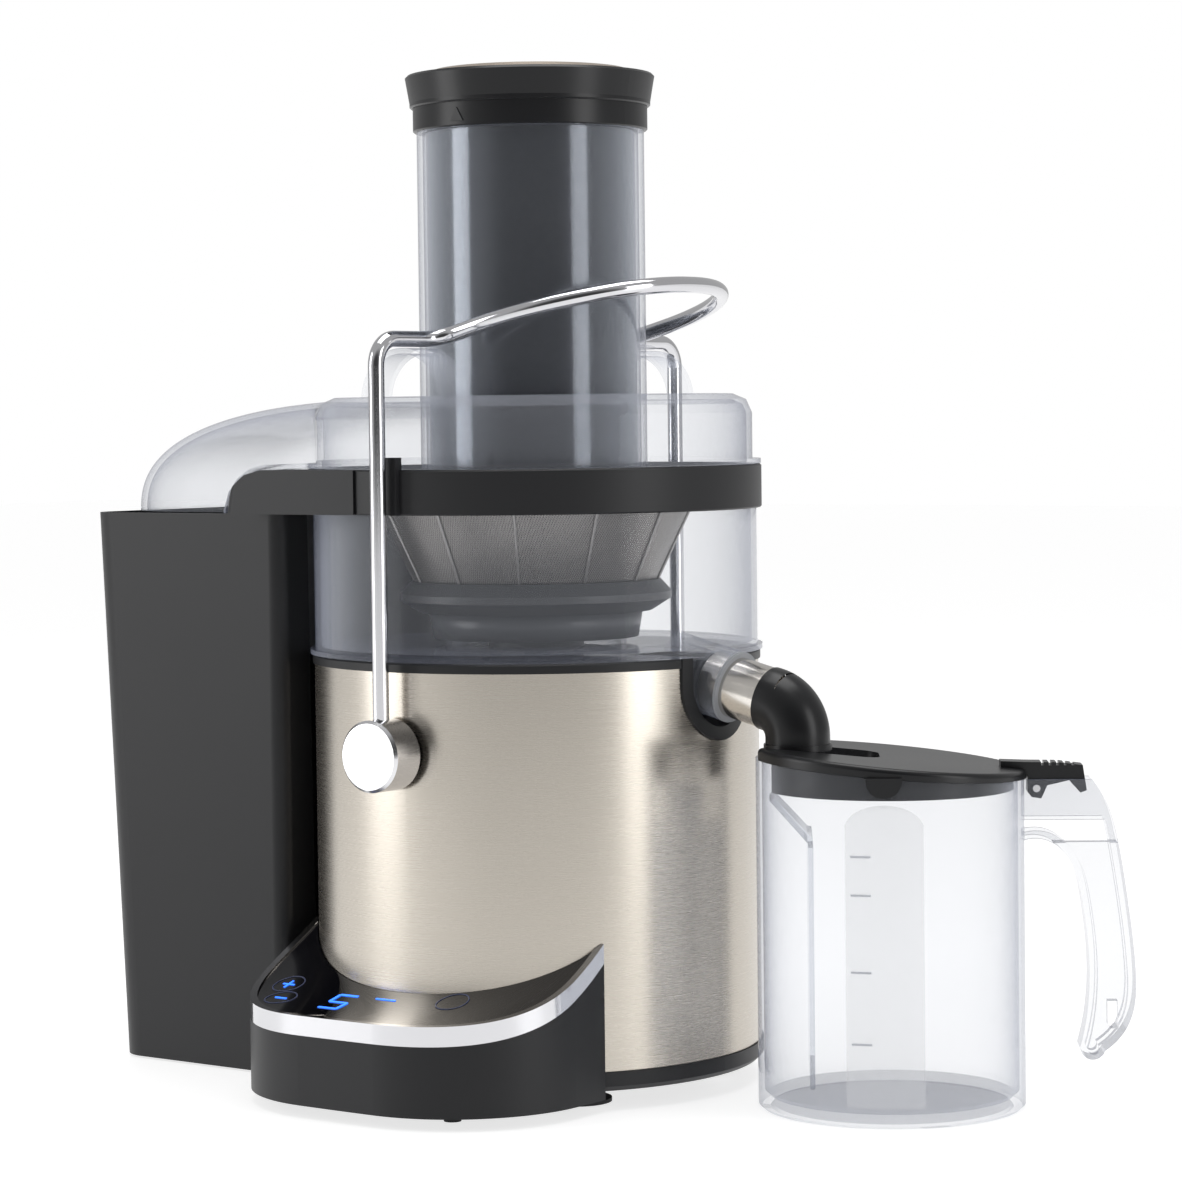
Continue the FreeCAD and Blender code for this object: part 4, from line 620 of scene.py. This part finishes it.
class JUICER_OT_scale(bpy.types.Operator):
    """Frosted measuring strip and its graduation lines on the jug"""
    bl_idname = "juicer.scale"
    bl_label = "Jug scale"

    def execute(self, context):
        low, high = node_box("jug_cup")
        centre = (low + high) / 2
        radius = 0.0538
        look = math.atan2(-math.cos(math.radians(37.5)), math.sin(math.radians(37.5)))
        look += math.radians(-8)
        def wall(angle, z, out):
            """A point on the jug's outside, at an angle round its axis and a height."""
            return np.stack([centre[0] + (radius + out) * np.cos(angle),
                             centre[1] + (radius + out) * np.sin(angle), z], -1)

        half = 0.0155 / radius
        u = np.linspace(-1, 1, 29)[:, None]
        v = np.linspace(0, 1, 49)[None]
        top = 0.126 - 0.010 * (1 - np.sqrt(1 - (0.98 * u) ** 2))
        z = 0.008 + (top - 0.008) * v
        angle = look + half * u + 0 * v
        outer = wall(angle, z + 0 * u, 0.0)
        inner = wall(angle, z + 0 * u, -0.0004)
        strip = grid_piece("scale_strip", np.concatenate([outer, inner[:, ::-1]], 1),
                           frosted("scale_frost", (0.80, 0.81, 0.83), 0.16), "jug", close_v=True)
        quads = []
        for height in (33, 61, 91, 106):
            wide = 0.008 / radius
            z0, z1 = height / 1000 - 0.0004, height / 1000 + 0.0004
            a = look - half * 0.85
            ang = np.array([a, a + wide, a + wide, a])
            quads.append(wall(ang, np.array([z0, z0, z1, z1]), 0.0001))
        points, faces = bars(quads, 0.00025)
        lines = piece("scale_lines", points, faces, frosted("scale_ink", (0.55, 0.57, 0.62), 0.7), "jug",
                      smooth=False)
        return {"FINISHED"}


class JUICER_OT_studio(bpy.types.Operator):
    """Floor, soft lights and camera"""
    bl_idname = "juicer.studio"
    bl_label = "Studio"

    def execute(self, context):
        own = context.scene.juicer_studio
        scene = context.scene
        scene.view_settings.view_transform = "Standard"
        scene.cycles.transparent_max_bounces = 48
        world = bpy.data.worlds.new("studio_surround")
        scene.world = world
        world.use_nodes = True
        sky = Nodes(world.node_tree)
        back = sky.tree.nodes["Background"]
        toward = (math.sin(own.azimuth), -math.cos(own.azimuth), 0.0)
        look = sky.node("ShaderNodeTexCoord", output="Generated")
        facing = sky.node("ShaderNodeVectorMath", {"operation": "DOT_PRODUCT"}, look, toward,
                          output="Value")
        # the surround darkens behind the camera, so that metal has something dark to reflect
        sky.join(facing.ramp(0.55, 0.93, own.sky, own.sky * own.dark_side),
                 back.inputs["Strength"])
        back.inputs["Color"].default_value = (1, 1, 1, 1)
        seen = sky.node("ShaderNodeBackground", None, (1.0, 1.0, 1.0), 1.0)
        ray = sky.node("ShaderNodeLightPath", output="Is Camera Ray")
        both = sky.node("ShaderNodeMixShader", None, ray, Wire(sky, back.outputs[0]), seen)
        sky.tree.links.new(both.socket, sky.tree.nodes["World Output"].inputs["Surface"])
        mesh = bpy.data.meshes.new("studio_floor")
        mesh.from_pydata([(-8, -8, 0), (8, -8, 0), (8, 8, 0), (-8, 8, 0)], [], [(0, 1, 2, 3)])
        floor = bpy.data.objects.new("studio_floor", mesh)
        scene.collection.objects.link(floor)
        white = Paint("floor_white", Roughness=0.55)
        white.feed("Base Color", (0.42, 0.42, 0.42))
        white.feed("Emission Color", (1.0, 1.0, 1.0))
        white.feed("Emission Strength", own.floor_glow)
        mesh.materials.append(white.material)
        self.soft_light("key_left", (-1.25, -1.2, 0.55), (0, 0, 0.2), 0.7, 1.5, own.key_power)
        self.soft_light("fill_right", (1.7, 0.05, 0.55), (0, 0, 0.2), 0.6, 1.4, own.key_power * 0.8)
        self.soft_light("top", (0.0, 0.1, 1.9), (0, 0, 0), 1.3, 1.3, own.key_power * 1.8)
        self.camera(own)
        return {"FINISHED"}

    def soft_light(self, name, where, aim, wide, tall, power):
        light = bpy.data.lights.new(name, "AREA")
        light.shape = "RECTANGLE"
        light.size, light.size_y, light.energy = wide, tall, power
        made = bpy.data.objects.new(name, light)
        made.location = where
        made.rotation_euler = (Vector(aim) - Vector(where)).to_track_quat("-Z", "Y").to_euler()
        bpy.context.scene.collection.objects.link(made)

    def camera(self, own):
        """Camera level with the lid, aimed a little down and aside, rolled by under a degree."""
        data = bpy.data.cameras.new("camera")
        data.lens, data.sensor_width = own.lens, 36.0
        made = bpy.data.objects.new("camera", data)
        bpy.context.scene.collection.objects.link(made)
        turn, roll = own.azimuth, math.radians(0.68)
        right = Vector((math.cos(turn), math.sin(turn), 0))
        ahead = Vector((-math.sin(turn), math.cos(turn), 0))
        aim = (ahead + right * 0.01506 - Vector((0, 0, 1)) * 0.0484).normalized()
        level = aim.cross(Vector((0, 0, 1))).normalized()
        up = level.cross(aim)
        top = up * math.cos(roll) + level * math.sin(roll)
        side = level * math.cos(roll) - up * math.sin(roll)
        spot = Vector((math.sin(turn), -math.cos(turn), 0)) * own.distance
        spot += Vector(AXIS)
        spot.z = own.height
        made.matrix_world = Matrix.Translation(spot) @ Matrix((side, top, -aim)).transposed().to_4x4()
        data.clip_start, data.clip_end = 0.01, 50
        bpy.context.scene.camera = made


class JUICER_PT_panel(bpy.types.Panel):
    """The juicer's operators and values"""
    bl_label = "Juicer"
    bl_idname = "JUICER_PT_panel"
    bl_space_type = "VIEW_3D"
    bl_region_type = "UI"
    bl_category = "Juicer"

    def draw(self, context):
        for made in STEPS:
            self.layout.operator(made.bl_idname)
        for group in (context.scene.juicer_finish, context.scene.juicer_studio):
            for name in group.__annotations__:
                self.layout.prop(group, name)


STEPS = (JUICER_OT_metals, JUICER_OT_plastics, JUICER_OT_clears, JUICER_OT_hood,
         JUICER_OT_basket, JUICER_OT_marks, JUICER_OT_scale, JUICER_OT_studio)
CLASSES = (JuicerFinish, JuicerStudio) + STEPS + (JUICER_PT_panel,)


def register():
    for made in CLASSES:
        bpy.utils.register_class(made)
    bpy.types.Scene.juicer_finish = bpy.props.PointerProperty(type=JuicerFinish)
    bpy.types.Scene.juicer_studio = bpy.props.PointerProperty(type=JuicerStudio)


def unregister():
    del bpy.types.Scene.juicer_studio
    del bpy.types.Scene.juicer_finish
    for made in reversed(CLASSES):
        bpy.utils.unregister_class(made)


def main():
    register()
    bpy.ops.juicer.metals()
    bpy.ops.juicer.plastics()
    bpy.ops.juicer.clears()
    bpy.ops.juicer.hood()
    bpy.ops.juicer.basket()
    bpy.ops.juicer.marks()
    bpy.ops.juicer.scale()
    bpy.ops.juicer.studio()
    bpy.context.view_layer.update()


if __name__ == "__main__":
    main()
